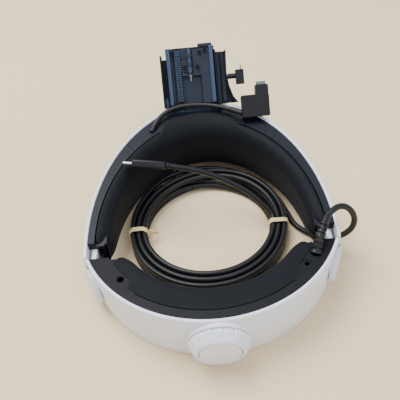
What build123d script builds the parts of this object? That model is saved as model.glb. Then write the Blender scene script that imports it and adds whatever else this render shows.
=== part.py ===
from build123d import *
from math import cos, degrees, pi, radians, sin, sqrt, tan
import os

# Head strap of a viewing headset, standing as it is stored: turned over on its forehead pad and rear unit,
# with the viewer slid off its bracket and the lead coiled inside the ring.
# Millimetres. +X is to the right seen from the rear dial, +Y runs from the rear unit to the forehead, +Z is up.
# The origin is on the surface it stands on, under the middle of the strap with its bracket and dial.

# ---- driving sizes: rear unit ------------------------------------------------------------------------------
REAR_Y = -20.3            # axis of the rear unit's arc
REAR_TOP_R = 100.0        # outer radius at the top edge
REAR_FOOT_R = REAR_TOP_R - 3.0   # outer radius at the foot
REAR_HEIGHT = 46.0
REAR_END_Y = -58.3        # flat ends that face the front band
SHELL_WALL = 2.5
HOUSING_INNER_R = REAR_TOP_R - 24.5   # inner wall of the rear housing, towards the head
HOUSING_WALL = 2.0
HOUSING_TOP = 5.0         # thickness of the housing's top plate
INSET_DEPTH = 2.5         # recess in the top plate that takes the pad's lip
INSET_R = REAR_TOP_R - 9.5       # edge of that recess behind the dial
INSET_END_R = REAR_TOP_R - 16.4  # and towards the ends
INSET_HALF_ANGLE = 37.0
SEAM = 0.4                # visible gap between neighbouring covers
BASE_PLATE = 2.5
REAR_PAD_DEPTH = 5.5      # rear pad in front of the inner wall
SWEEP = 72.0              # half angle that the arcs are turned through before the ends are cut flat

# ---- dial, pinion and strap racks --------------------------------------------------------------------------
DIAL_Z = REAR_HEIGHT / 2 - 0.5
DIAL_TILT = 7.0
DIAL_R = 21.5
DIAL_CAP_R = 17.0
DIAL_DEPTH = 10.8
DIAL_GAP = 0.6            # between the fixed boss and the turning knob
BOSS_R = 22.2
BOSS_PROUD = 1.6
BOSS_DEPTH = 7.0          # the boss's whole thickness, so that it fills the curve of the wall
FLUTES = 18
FLUTE_LENGTH = 2.2
BUTTON_R = 14.4
BUTTON_THICK = 1.8
BUTTON_TRAVEL = 1.5
BUTTON_GAP = 0.35
SHAFT_R = 3.0
BUSH_R = 5.0
BUSH_LENGTH = 10.0
RUNNING_FIT = 0.05
TOOTH_MODULE = 0.75
PINION_TEETH = 16
PINION_DEPTH = 17.5       # from the shell's outer face in to the middle of the pinion
RACK_THICK = 3.0
RACK_HEIGHT = 3.75
RACK_SHORT = 18.0         # rack beyond the pinion towards its own strap
RACK_LONG = 29.0          # rack beyond the pinion on the other side
STRAP_THICK = 1.2
STRAP_MID_R = REAR_FOOT_R - 3.8  # the strap's bend comes this near to the rear shell
STRAP_FOOT_Z = REAR_HEIGHT / 2 + 1.5
STRAP_TOP_Z = REAR_HEIGHT / 2 + 12.0

# ---- front band --------------------------------------------------------------------------------------------
BAND_Y = -40.0            # centre of the ellipses that the front band follows
BAND_A = 94.5
BAND_B = 146.0
BAND_END_Y = -57.3
RIM_END_Z = 47.0          # top edge of the band at its ends
RIM_FRONT_Z = 62.0        # and at the forehead
FRAME_DROP = 1.2          # the black frame lies this far below the white rim
FRAME_TOP = 3.0
FRAME_WALL = 2.2
FRAME_END_Y = -44.0
LIP_A = BAND_A - 8.0      # line where the frame's top meets the lip of the forehead pad
LIP_B = BAND_B - 23.5
LIP_DEPTH = 3.0
PAD_SEAM_A = BAND_A - 14.5  # inner face of the frame's wall, behind the pad's carrier
PAD_SEAM_B = BAND_B - 23.0
CARRIER = 1.5
PAD_FOOT_Z = 15.6         # lower edge of the pad and of the frame behind it, at the forehead
PAD_FOOT_Y = 45.0
PAD_FOOT_END_Z = 26.0     # and at the ends
PAD_INNER_A = BAND_A - 19.5
PAD_INNER_B = BAND_B - 33.0
PAD_END_Y = FRAME_END_Y + 2.0
ARM_IN_X = BAND_A - 8.6     # side arms that guide the band
ARM_OUT_X = ARM_IN_X + 3.5
STRAP_X = BAND_A - 11.6     # flexible straps, just inside the arms
STRAP_SLOT = 4.4
ARM_FOOT_Z = STRAP_FOOT_Z - 0.5
ARM_TOP_Z = STRAP_TOP_Z + 5.0
ARM_TIP_Y = -15.0
FRAME_CUTS = (19.0, 33.0, 50.0)   # directions, from +Y, of the seams between the frame's segments

# ---- bracket that carries the viewer -----------------------------------------------------------------------
BRACKET_X = -2.0
BRACKET_Y = BAND_Y + BAND_B * 136.0 / 146.0
BRACKET_Z = 60.0
BRACKET_LEAN = 55.2       # above the horizontal
TRAY_LENGTH = 56.0
TRAY_FOOT = 1.0
TRAY_THICK = 2.6
TRAY_LEFT = -29.4
TRAY_RIGHT = 29.4
TRAY_WALL = 1.5
WALL_HEIGHT = 7.0
FOOT_TOP_Z = 63.0
WALL_FOOT = 3.9
WALL_LENGTH = 50.0
RAIL_WIDTH = 3.6
RAIL_HEIGHT = 3.0
RAIL_LEFT = -24.0         # outer edge of each rail, from the bracket's middle
RAIL_RIGHT = 18.0
RACK_X = -14.0
RACK_PITCH = 1.6
RACK_COUNT = 28
ROD_X = -3.4
ROD_R = 1.1

# ---- cords -------------------------------------------------------------------------------------------------
CORD_D = 4.7
LINK_D = 4.2
STUB_D = 3.2
COIL_X = -1.5
COIL_Y = 0.0
COIL_INNER_R = 51.5
COIL_OUTER_R = 66.2
COIL_HEIGHT = 14.4
BAND_WIDTH = 4.6          # rubber bands round the coil
BAND_THICK = 1.2

os.makedirs("parts", exist_ok=True)
pieces = []


def keep(builder, label):
    """Name a finished piece and remember it for export."""
    builder.part.label = label
    pieces.append((builder, label))


def rear_outer_r(z):
    """Outer radius of the leaning rear wall at a height."""
    return REAR_FOOT_R + (REAR_TOP_R - REAR_FOOT_R) * z / REAR_HEIGHT


def rim_z(y):
    """Height of the front band's top edge."""
    return RIM_END_Z + (RIM_FRONT_Z - RIM_END_Z) * (y - BAND_END_Y) / (BAND_Y + BAND_B - BAND_END_Y)


def polar(radius, angle):
    """A point of the rear unit in plan; the angle is taken from straight back, positive to the right."""
    return radius * sin(radians(angle)), REAR_Y - radius * cos(radians(angle))


start = radians(SWEEP)
rear_start = Plane(
    origin=(0, REAR_Y, 0), x_dir=(-sin(start), -cos(start), 0), z_dir=(-cos(start), sin(start), 0)
)
rear_axis = Axis((0, REAR_Y, 0), (0, 0, 1))
rear_end = Plane(origin=(0, REAR_END_Y, 0), z_dir=(0, 1, 0))
lean = radians(DIAL_TILT)
dial_plane = Plane(
    origin=(0, REAR_Y - rear_outer_r(DIAL_Z), DIAL_Z), x_dir=(1, 0, 0), z_dir=(0, -cos(lean), -sin(lean))
)
dial_axis = Axis(dial_plane.origin, dial_plane.z_dir)
pitch_r = TOOTH_MODULE * PINION_TEETH / 2
top_plate_z = REAR_HEIGHT - HOUSING_TOP


def rear_revolve(outline):
    """Turn an outline of (radius, height) points about the rear unit's upright axis and cut the ends flat."""
    with BuildSketch(rear_start) as section:
        with BuildLine():
            Polyline(*outline, close=True)
        make_face()
    revolve(section.sketch, axis=rear_axis, revolution_arc=2 * SWEEP)
    split(bisect_by=rear_end, keep=Keep.BOTTOM)


# ==== rear unit =============================================================================================
with BuildPart() as rear_shell:
    rear_revolve(
        [
            (REAR_FOOT_R, 0),
            (REAR_TOP_R, REAR_HEIGHT),
            (REAR_TOP_R - SHELL_WALL, REAR_HEIGHT),
            (REAR_FOOT_R - SHELL_WALL, 0),
        ]
    )
    with BuildSketch(dial_plane.offset(BOSS_PROUD)):
        Circle(BOSS_R)
    extrude(amount=-BOSS_DEPTH)
    with BuildSketch(dial_plane.offset(BOSS_PROUD)):
        Circle(BUSH_R)
    extrude(amount=-20, mode=Mode.SUBTRACT)
    for side in (-1, 1):
        with Locations((side * (ARM_IN_X + ARM_OUT_X) / 2, REAR_END_Y, (ARM_FOOT_Z + ARM_TOP_Z) / 2)):
            Box(ARM_OUT_X - ARM_IN_X, 2, ARM_TOP_Z - ARM_FOOT_Z, mode=Mode.SUBTRACT)
keep(rear_shell, "rear_shell")

# The lip recess: wide behind the dial, narrower towards the ends.
inset_floor = REAR_HEIGHT - INSET_DEPTH


def inset_outline(grow):
    """Plan of the pad's lip, or of the recess that takes it when it is grown by a seam."""
    with Locations((0, REAR_Y)):
        Circle(INSET_END_R + grow)
    wide = radians(INSET_HALF_ANGLE) + grow / INSET_R
    with BuildLine() as sector:
        reach = INSET_R + grow
        Line((0, REAR_Y), (-reach * sin(wide), REAR_Y - reach * cos(wide)))
        ThreePointArc(
            (-reach * sin(wide), REAR_Y - reach * cos(wide)),
            (0, REAR_Y - reach),
            (reach * sin(wide), REAR_Y - reach * cos(wide)),
        )
        Line((reach * sin(wide), REAR_Y - reach * cos(wide)), (0, REAR_Y))
    make_face(sector.edges())


JACK_R = 1.8
JACK_BODY_R = 3.6
JACK_DEPTH = 14.0
REST_R = 2.6
REST_BODY_R = 3.8
REST_DEPTH = 11.0
JACK_SPOT = polar(88.0, 48.0)
REST_SPOT = polar(88.0, -48.0)
RELIEF_SPOT = polar(88.5, 56.0)
RELIEF_R = 3.6
POST_SPOTS = [polar(82.0, a) for a in (-62.0, -33.0, 33.0, 62.0)]
SCREW_R = 1.25
POST_R = 3.0

with BuildPart() as rear_housing:
    rear_revolve(
        [
            (HOUSING_INNER_R, BASE_PLATE),
            (HOUSING_INNER_R, REAR_HEIGHT),
            (REAR_TOP_R - SHELL_WALL, REAR_HEIGHT),
            (rear_outer_r(top_plate_z) - SHELL_WALL, top_plate_z),
            (HOUSING_INNER_R + HOUSING_WALL, top_plate_z),
            (HOUSING_INNER_R + HOUSING_WALL, BASE_PLATE),
        ]
    )
    # end walls
    for side in (-1, 1):
        outer_x = sqrt((rear_outer_r(BASE_PLATE) - SHELL_WALL) ** 2 - (REAR_Y - REAR_END_Y + HOUSING_WALL) ** 2)
        inner_x = sqrt(HOUSING_INNER_R**2 - (REAR_Y - REAR_END_Y) ** 2) + 3
        with Locations(
            (side * (outer_x + inner_x) / 2, REAR_END_Y - HOUSING_WALL / 2, (top_plate_z + BASE_PLATE) / 2)
        ):
            Box(outer_x - inner_x, HOUSING_WALL, top_plate_z - BASE_PLATE)
    # recess for the pad's lip
    with BuildSketch(Plane.XY.offset(inset_floor)):
        inset_outline(SEAM)
    extrude(amount=INSET_DEPTH + 1, mode=Mode.SUBTRACT)
    # screw posts
    with Locations(*[(x, y, (top_plate_z + BASE_PLATE) / 2) for x, y in POST_SPOTS]):
        Cylinder(POST_R, top_plate_z - BASE_PLATE)
    with Locations(*[(x, y, BASE_PLATE + 5) for x, y in POST_SPOTS]):
        Cylinder(SCREW_R, 10, mode=Mode.SUBTRACT)
    # ribs that guide the racks above and below the pinion
    guide_z = pitch_r + TOOTH_MODULE + RACK_HEIGHT + 0.3
    for side in (-1, 1):
        with BuildSketch(dial_plane.offset(-PINION_DEPTH + RACK_THICK / 2 + 0.5)):
            with Locations((0, side * (guide_z + 0.9))):
                Rectangle(20, 1.8)
        extrude(amount=-11)
    with BuildSketch():
        with Locations((0, REAR_Y)):
            Circle(HOUSING_INNER_R)
    extrude(amount=REAR_HEIGHT, mode=Mode.SUBTRACT)
    # sockets, cord exit, and the slots in the end walls for arms and straps
    with Locations((*JACK_SPOT, REAR_HEIGHT)):
        Cylinder(JACK_BODY_R, 12, mode=Mode.SUBTRACT)
    with Locations((*REST_SPOT, REAR_HEIGHT)):
        Cylinder(REST_BODY_R, 12, mode=Mode.SUBTRACT)
    with Locations((*RELIEF_SPOT, REAR_HEIGHT)):
        Cylinder(RELIEF_R, 12, mode=Mode.SUBTRACT)
    for side in (-1, 1):
        with Locations((side * (ARM_IN_X + ARM_OUT_X) / 2, REAR_END_Y, (ARM_FOOT_Z + ARM_TOP_Z) / 2)):
            Box(ARM_OUT_X - ARM_IN_X, 2 * HOUSING_WALL + 2, ARM_TOP_Z - ARM_FOOT_Z, mode=Mode.SUBTRACT)
        with Locations((side * (STRAP_X - 0.9), REAR_END_Y, (STRAP_FOOT_Z + STRAP_TOP_Z) / 2)):
            Box(STRAP_SLOT, 2 * HOUSING_WALL + 2, STRAP_TOP_Z - STRAP_FOOT_Z + 1.0, mode=Mode.SUBTRACT)
    # room for the boss behind the dial
    with BuildSketch(dial_plane.offset(BOSS_PROUD)):
        Circle(BOSS_R + 0.1)
    extrude(amount=-BOSS_DEPTH - 0.1, mode=Mode.SUBTRACT)
keep(rear_housing, "rear_housing")

with BuildPart() as rear_base:
    rear_revolve(
        [
            (HOUSING_INNER_R, 0),
            (HOUSING_INNER_R, BASE_PLATE),
            (rear_outer_r(BASE_PLATE) - SHELL_WALL, BASE_PLATE),
            (REAR_FOOT_R - SHELL_WALL, 0),
        ]
    )
    with Locations(*[(x, y, 0) for x, y in POST_SPOTS]):
        Cylinder(3.0, 2.0, mode=Mode.SUBTRACT)
        Cylinder(SCREW_R, 12, mode=Mode.SUBTRACT)
    with BuildSketch(dial_plane.offset(BOSS_PROUD)):
        Circle(BOSS_R + 0.1)
    extrude(amount=-BOSS_DEPTH - 0.1, mode=Mode.SUBTRACT)
keep(rear_base, "rear_base_plate")

with BuildPart() as base_screws:
    with Locations(*[(x, y, 0.6) for x, y in POST_SPOTS]):
        Cylinder(2.6, 0.8)
    with Locations(*[(x, y, 4.9) for x, y in POST_SPOTS]):
        Cylinder(SCREW_R, 7.8)
    with BuildSketch(Plane.XY.offset(0.2)):
        with Locations(*POST_SPOTS):
            RegularPolygon(1.1, 6)
    extrude(amount=0.5, mode=Mode.SUBTRACT)
keep(base_screws, "rear_base_screws")

with BuildPart() as rear_pad:
    face_r = HOUSING_INNER_R - REAR_PAD_DEPTH
    with BuildSketch(rear_start):
        with BuildLine():
            Line((HOUSING_INNER_R, 1.0), (HOUSING_INNER_R, REAR_HEIGHT - 0.5))
            Line((HOUSING_INNER_R, REAR_HEIGHT - 0.5), (face_r + 3.5, REAR_HEIGHT - 0.5))
            ThreePointArc((face_r + 3.5, REAR_HEIGHT - 0.5), (face_r, REAR_HEIGHT / 2), (face_r + 3.5, 1.0))
            Line((face_r + 3.5, 1.0), (HOUSING_INNER_R, 1.0))
        make_face()
    revolve(axis=rear_axis, revolution_arc=2 * SWEEP)
    with BuildSketch(Plane.XY.offset(inset_floor)):
        inset_outline(0)
        with Locations((0, REAR_Y)):
            Circle(HOUSING_INNER_R - 1, mode=Mode.SUBTRACT)
    extrude(amount=INSET_DEPTH - 0.5)
    split(bisect_by=rear_end, keep=Keep.BOTTOM)
keep(rear_pad, "rear_pad")

with BuildPart() as headphone_jack:
    with Locations((*JACK_SPOT, REAR_HEIGHT - 0.4 - JACK_DEPTH / 2)):
        Cylinder(JACK_BODY_R, JACK_DEPTH)
        Cylinder(JACK_R, JACK_DEPTH, mode=Mode.SUBTRACT)
keep(headphone_jack, "headphone_jack")

with BuildPart() as jack_board:
    with Locations((*polar(84.5, 48.0), REAR_HEIGHT - 0.4 - JACK_DEPTH - 0.6)):
        Box(8, 8, 1.2)
keep(jack_board, "jack_board")

with BuildPart() as rest_socket:
    with Locations((*REST_SPOT, REAR_HEIGHT - 0.2 - REST_DEPTH / 2)):
        Cylinder(REST_BODY_R, REST_DEPTH)
    with Locations((*REST_SPOT, REAR_HEIGHT - 0.2 - (REST_DEPTH - 1.5) / 2)):
        Cylinder(REST_R, REST_DEPTH - 1.5, mode=Mode.SUBTRACT)
keep(rest_socket, "plug_rest_socket")

HOLDER_R = 14.0
HOLDER_FACE_R = 102.5
HOLDER_ANGLE = 65.0
HOLDER_Z = 22.0
HOLDER_BORE = 1.5
HOLDER_BORE_DEPTH = 3.0
for side, label in ((-1, "earbud_holder_left"), (1, "earbud_holder_right")):
    turn = radians(side * HOLDER_ANGLE)
    face = Plane(
        origin=(*polar(HOLDER_FACE_R, side * HOLDER_ANGLE), HOLDER_Z),
        x_dir=(cos(turn), sin(turn), 0),
        z_dir=(sin(turn), -cos(turn), 0),
    )
    with BuildPart() as holder:
        with BuildSketch(face):
            Circle(HOLDER_R)
        extrude(amount=-8)
        with BuildSketch():
            with Locations((0, REAR_Y)):
                Circle(rear_outer_r(HOLDER_Z + HOLDER_R) + 0.02)
        extrude(amount=REAR_HEIGHT, mode=Mode.SUBTRACT)
        fillet(holder.faces().sort_by(Axis((0, REAR_Y, 0), face.z_dir))[-1].edges(), 1.6)
        with BuildSketch(face):
            Circle(HOLDER_BORE)
        extrude(amount=-HOLDER_BORE_DEPTH, mode=Mode.SUBTRACT)
        # clear of the end of the front band, which it overhangs
        with Locations((side * (BAND_A + 0.8 - 15), REAR_END_Y + 0.2 + 15, HOLDER_Z)):
            Box(30, 30, 2 * HOLDER_R + 2, mode=Mode.SUBTRACT)
    keep(holder, label)

# ==== dial, button, pinion and racks ========================================================================
knob_foot = BOSS_PROUD + DIAL_GAP
with BuildPart() as dial_knob:
    with BuildSketch(Plane(dial_plane.origin, x_dir=(1, 0, 0), z_dir=-dial_plane.y_dir)):
        with BuildLine():
            Polyline(
                (SHAFT_R, knob_foot + 3.0),
                (SHAFT_R, DIAL_DEPTH - BUTTON_THICK - BUTTON_TRAVEL - 0.8),
                (BUTTON_R + BUTTON_GAP, DIAL_DEPTH - BUTTON_THICK - BUTTON_TRAVEL - 0.8),
                (BUTTON_R + BUTTON_GAP, DIAL_DEPTH),
                (DIAL_CAP_R - 0.6, DIAL_DEPTH),
                (DIAL_CAP_R, DIAL_DEPTH - 0.6),
                (DIAL_R, knob_foot + 2.2),
                (DIAL_R, knob_foot),
                (DIAL_R - 2.5, knob_foot),
                (DIAL_R - 4.5, knob_foot + 3.0),
                close=True,
            )
        make_face()
    revolve(axis=dial_axis)
    with BuildSketch(dial_plane.offset(knob_foot)):
        with PolarLocations(DIAL_R + 0.5, FLUTES):
            Circle(1.1)
    extrude(amount=FLUTE_LENGTH, mode=Mode.SUBTRACT)
keep(dial_knob, "dial_knob")

with BuildPart() as release_button:
    with BuildSketch(dial_plane.offset(DIAL_DEPTH)):
        Circle(BUTTON_R)
    extrude(amount=-BUTTON_THICK)
    chamfer(release_button.edges().group_by(SortBy.LENGTH)[-1], 0.4)
keep(release_button, "release_button")

with BuildPart() as button_spring:
    with BuildSketch(dial_plane.offset(DIAL_DEPTH - BUTTON_THICK)):
        Circle(8.0)
        Circle(6.5, mode=Mode.SUBTRACT)
    extrude(amount=-BUTTON_TRAVEL - 0.8)
keep(button_spring, "button_spring")

shaft_end = -PINION_DEPTH - RACK_THICK / 2 - 1.0
with BuildPart() as dial_shaft:
    with BuildSketch(dial_plane.offset(shaft_end)):
        Circle(SHAFT_R)
    extrude(amount=DIAL_DEPTH - BUTTON_THICK - BUTTON_TRAVEL - 0.8 - shaft_end)
keep(dial_shaft, "dial_shaft")

with BuildPart() as dial_bush:
    with BuildSketch(dial_plane.offset(BOSS_PROUD)):
        Circle(BUSH_R)
        Circle(SHAFT_R + RUNNING_FIT, mode=Mode.SUBTRACT)
    extrude(amount=-BUSH_LENGTH)
keep(dial_bush, "dial_bush")

tooth_pitch = pi * TOOTH_MODULE
tip_r = pitch_r + 0.6 * TOOTH_MODULE
root_r = pitch_r - TOOTH_MODULE
with BuildPart() as pinion:
    outline = []
    for i in range(PINION_TEETH):
        middle = pi / 2 + 2 * pi * i / PINION_TEETH
        for r, share in ((root_r, -0.24), (tip_r, -0.10), (tip_r, 0.10), (root_r, 0.24)):
            a = middle + share * tooth_pitch / pitch_r
            outline.append((r * cos(a), r * sin(a)))
    with BuildSketch(dial_plane.offset(-PINION_DEPTH + RACK_THICK / 2)):
        with BuildLine():
            Polyline(*outline, close=True)
        make_face()
        Circle(SHAFT_R, mode=Mode.SUBTRACT)
    extrude(amount=-RACK_THICK)
keep(pinion, "dial_pinion")

with BuildPart() as detent_spring:
    with BuildSketch(dial_plane.offset(BOSS_PROUD - BUSH_LENGTH)):
        Circle(9.0)
        Circle(SHAFT_R + 0.4, mode=Mode.SUBTRACT)
    extrude(amount=-0.8)
    with BuildSketch(dial_plane.offset(BOSS_PROUD - BUSH_LENGTH - 0.8)):
        with PolarLocations(6.6, 8):
            Circle(0.9)
    extrude(amount=-0.9)
keep(detent_spring, "detent_plate")

# The left strap's rack runs over the pinion and the right one's under it.
for side, label in ((1, "strap_rack_left"), (-1, "strap_rack_right")):
    with BuildPart() as rack:
        with BuildSketch(dial_plane.offset(-PINION_DEPTH + RACK_THICK / 2)):
            with Locations((side * (RACK_LONG - RACK_SHORT) / 2, side * (pitch_r + TOOTH_MODULE + RACK_HEIGHT / 2))):
                Rectangle(RACK_SHORT + RACK_LONG, RACK_HEIGHT)
            first = -int((RACK_SHORT if side > 0 else RACK_LONG) / tooth_pitch) + 1
            last = int((RACK_LONG if side > 0 else RACK_SHORT) / tooth_pitch) - 1
            for i in range(first, last):
                with BuildLine():
                    x = (i + 0.5) * tooth_pitch
                    Polyline(
                        (x - 0.24 * tooth_pitch, side * (pitch_r + TOOTH_MODULE)),
                        (x - 0.10 * tooth_pitch, side * (pitch_r - 0.6 * TOOTH_MODULE)),
                        (x + 0.10 * tooth_pitch, side * (pitch_r - 0.6 * TOOTH_MODULE)),
                        (x + 0.24 * tooth_pitch, side * (pitch_r + TOOTH_MODULE)),
                        close=True,
                    )
                make_face()
        extrude(amount=-RACK_THICK)
    keep(rack, label)

# ==== front band ============================================================================================
FOOT_END_Z = 20.0         # the band's lower edge rises from the forehead to its ends
FOOT_FRONT_Y = 88.0


def band_profile(drop, rise):
    """Side view of the band, in (y, z): under the sloping rim by drop, above the arched lower edge by rise."""
    far = BAND_Y + BAND_B + 5
    near = BAND_END_Y - 5
    with BuildLine() as side_view:
        Line((near, rim_z(near) - drop), (far, rim_z(far) - drop))
        Line((far, rim_z(far) - drop), (far, rise))
        Line((far, rise), (FOOT_FRONT_Y, rise))
        Spline(
            (FOOT_FRONT_Y, rise),
            (60, 4 + rise),
            (10, 15.0 + rise),
            (near, FOOT_END_Z + rise),
            tangents=((-1, 0), (-1, 0.05)),
        )
        Line((near, FOOT_END_Z + rise), (near, rim_z(near) - drop))
    make_face(side_view.edges())


def band_ring(outer, inner, end_y, drop, rise, height=70.0):
    """A wall that follows the band between two ellipses, from end_y forward, trimmed to the side view."""
    with BuildSketch() as plan:
        with Locations((0, BAND_Y)):
            Ellipse(*outer)
            Ellipse(*inner, mode=Mode.SUBTRACT)
        with Locations((0, end_y + 150)):
            Rectangle(300, 300, mode=Mode.INTERSECT)
    extrude(plan.sketch, amount=height)
    with BuildSketch(Plane.YZ) as side:
        band_profile(drop, rise)
    extrude(side.sketch, amount=100, both=True, mode=Mode.INTERSECT)


shell_in = (BAND_A - SHELL_WALL, BAND_B - SHELL_WALL)
wall_out = (PAD_SEAM_A + FRAME_WALL, PAD_SEAM_B + FRAME_WALL)
wall_in = (PAD_SEAM_A, PAD_SEAM_B)
carrier_in = (PAD_SEAM_A - CARRIER, PAD_SEAM_B - CARRIER)

with BuildPart() as front_shell:
    band_ring((BAND_A, BAND_B), shell_in, BAND_END_Y, 0, 0)
keep(front_shell, "front_shell")

lean_up = radians(BRACKET_LEAN)
bracket = Plane(
    origin=(BRACKET_X, BRACKET_Y, BRACKET_Z), x_dir=(1, 0, 0), z_dir=(0, -sin(lean_up), cos(lean_up))
)

frame_names = (
    ("frame_side_left", -FRAME_CUTS[2] - 90, -FRAME_CUTS[2]),
    ("frame_corner_left", -FRAME_CUTS[2], -FRAME_CUTS[1]),
    ("frame_front_left", -FRAME_CUTS[1], -FRAME_CUTS[0]),
    ("frame_centre", -FRAME_CUTS[0], FRAME_CUTS[0]),
    ("frame_front_right", FRAME_CUTS[0], FRAME_CUTS[1]),
    ("frame_corner_right", FRAME_CUTS[1], FRAME_CUTS[2]),
    ("frame_side_right", FRAME_CUTS[2], FRAME_CUTS[2] + 90),
)
LID_UNDER_GAP = 0.5       # between the arms and the frame's top
PAD_DROP = FRAME_DROP + 0.3

# Below the pad's foot line there is only the outer shell.
with BuildPart() as under_pad:
    with BuildSketch(Plane.YZ):
        with BuildLine():
            Polyline((-80, -20), (-80, PAD_FOOT_END_Z), (PAD_FOOT_Y, PAD_FOOT_Z), (150, PAD_FOOT_Z), (150, -20), close=True)
        make_face()
    extrude(amount=100, both=True)

# Room in the frame's top for the pad's lip.
with BuildPart() as lip_room:
    with BuildSketch():
        with Locations((0, BAND_Y)):
            Ellipse(LIP_A + SEAM, LIP_B + SEAM)
    extrude(amount=100)
    with BuildSketch(Plane.YZ):
        with BuildLine():
            low_end = rim_z(-150) - PAD_DROP - LIP_DEPTH - SEAM
            low_front = rim_z(150) - PAD_DROP - LIP_DEPTH - SEAM
            Polyline((-150, low_end), (150, low_front), (150, 120), (-150, 120), close=True)
        make_face()
    extrude(amount=100, both=True, mode=Mode.INTERSECT)

for label, from_angle, to_angle in frame_names:
    with BuildPart() as frame:
        band_ring(shell_in, wall_in, FRAME_END_Y, FRAME_DROP, 2.0)
        # hollow under the top plate, between the inner wall and the white shell
        with BuildSketch():
            with Locations((0, BAND_Y)):
                Ellipse(*shell_in)
                Ellipse(*wall_out, mode=Mode.SUBTRACT)
        extrude(amount=ARM_TOP_Z + LID_UNDER_GAP, mode=Mode.SUBTRACT)
        add(lip_room.part, mode=Mode.SUBTRACT)
        add(under_pad.part, mode=Mode.SUBTRACT)
        # keep this segment, less half a seam at each end
        half_seam = degrees(SEAM / 2 / 120)
        low, high = radians(from_angle + half_seam), radians(to_angle - half_seam)
        reach = 400
        with BuildSketch():
            with BuildLine():
                Polyline(
                    (0, BAND_Y),
                    (reach * sin(low), BAND_Y + reach * cos(low)),
                    (reach * sin((low + high) / 2) * 1.5, BAND_Y + reach * cos((low + high) / 2) * 1.5),
                    (reach * sin(high), BAND_Y + reach * cos(high)),
                    close=True,
                )
            make_face()
        extrude(amount=80, mode=Mode.INTERSECT)
        if "side" in label:
            side = -1 if "left" in label else 1
            # block that clamps the flexible strap
            with Locations((side * (STRAP_X - 0.5), FRAME_END_Y + 3.5, 30.0)):
                Box(4.8, 7.0, 16.0)
            with Locations((side * STRAP_X, FRAME_END_Y + 2.5, 30.0)):
                Box(STRAP_THICK + 0.1, 5.2, 20.0, mode=Mode.SUBTRACT)
    keep(frame, label)

with BuildPart() as pad_carrier:
    band_ring(wall_in, carrier_in, PAD_END_Y, PAD_DROP + LIP_DEPTH + SEAM, 5.0)
    add(under_pad.part, mode=Mode.SUBTRACT)
keep(pad_carrier, "pad_carrier")

# Outside its carrier the pad is only a lip along the top.
with BuildPart() as under_lip:
    band_ring((LIP_A + 5, LIP_B + 5), carrier_in, PAD_END_Y - 5, PAD_DROP + LIP_DEPTH, -5.0)

with BuildPart() as forehead_pad:
    band_ring((LIP_A, LIP_B), (PAD_INNER_A, PAD_INNER_B), PAD_END_Y, PAD_DROP, 4.0)
    add(under_lip.part, mode=Mode.SUBTRACT)
    add(under_pad.part, mode=Mode.SUBTRACT)
keep(forehead_pad, "forehead_pad")

# Arms on the rear unit that the front band slides along.
for side, label in ((-1, "side_arm_left"), (1, "side_arm_right")):
    with BuildPart() as arm:
        with Locations(
            (
                side * (ARM_IN_X + ARM_OUT_X) / 2,
                (ARM_TIP_Y + REAR_END_Y - HOUSING_WALL) / 2,
                (ARM_FOOT_Z + ARM_TOP_Z) / 2,
            )
        ):
            Box(ARM_OUT_X - ARM_IN_X, ARM_TIP_Y - REAR_END_Y + HOUSING_WALL, ARM_TOP_Z - ARM_FOOT_Z)
        with BuildSketch():
            with Locations((0, REAR_Y)):
                Circle(400)
                Circle(rear_outer_r(ARM_FOOT_Z) - SHELL_WALL - 0.02, mode=Mode.SUBTRACT)
            with Locations((0, REAR_END_Y - 10)):
                Rectangle(300, 20 - 2.0, mode=Mode.INTERSECT)
        extrude(amount=REAR_HEIGHT, mode=Mode.SUBTRACT)
    keep(arm, label)

# Flexible straps, from the band round inside the rear unit to their racks.
rack_depth_y = dial_plane.origin.Y + (PINION_DEPTH) * cos(lean)
for side, label in ((-1, "flex_strap_left"), (1, "flex_strap_right")):
    upper = side < 0
    tilt_shift = sin(lean) * (pitch_r + TOOTH_MODULE + RACK_HEIGHT / 2) * (1 if upper else -1)
    y_end = rack_depth_y - tilt_shift
    # bend whose middle is STRAP_MID_R from the rear unit's axis
    deep = REAR_Y - y_end
    spread = STRAP_X + deep
    bend_r = (spread - sqrt(spread**2 - 2 * (STRAP_X**2 + deep**2 - STRAP_MID_R**2))) / 2 / (1 - sqrt(0.5))
    rack_z = DIAL_Z + PINION_DEPTH * sin(lean) + (1 if upper else -1) * (pitch_r + TOOTH_MODULE + RACK_HEIGHT / 2)
    with BuildPart() as strap:
        with BuildSketch(Plane.XY.offset(10)):
            with BuildLine() as route:
                Line((side * STRAP_X, FRAME_END_Y + 4.8), (side * STRAP_X, y_end + bend_r))
                Line((side * (STRAP_X - bend_r), y_end), (side * RACK_SHORT, y_end))
                CenterArc(
                    (side * (STRAP_X - bend_r), y_end + bend_r),
                    bend_r,
                    180 if side < 0 else 270,
                    90,
                )
            trace(line_width=STRAP_THICK)
        extrude(amount=STRAP_TOP_Z - 10)
        # as wide as the slot at the ends of the rear unit, and as narrow as the rack beside the dial
        with Locations((side * STRAP_X, -48, STRAP_FOOT_Z - 20)):
            Box(30, 40, 40, mode=Mode.SUBTRACT)
        with Locations((side * 20, y_end, rack_z + (21.8 if upper else -21.8))):
            Box(40, 30, 40, mode=Mode.SUBTRACT)
        with Locations((side * 20, y_end, rack_z - (21.8 if upper else -21.8))):
            Box(40, 30, 40, mode=Mode.SUBTRACT)
    keep(strap, label)

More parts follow.
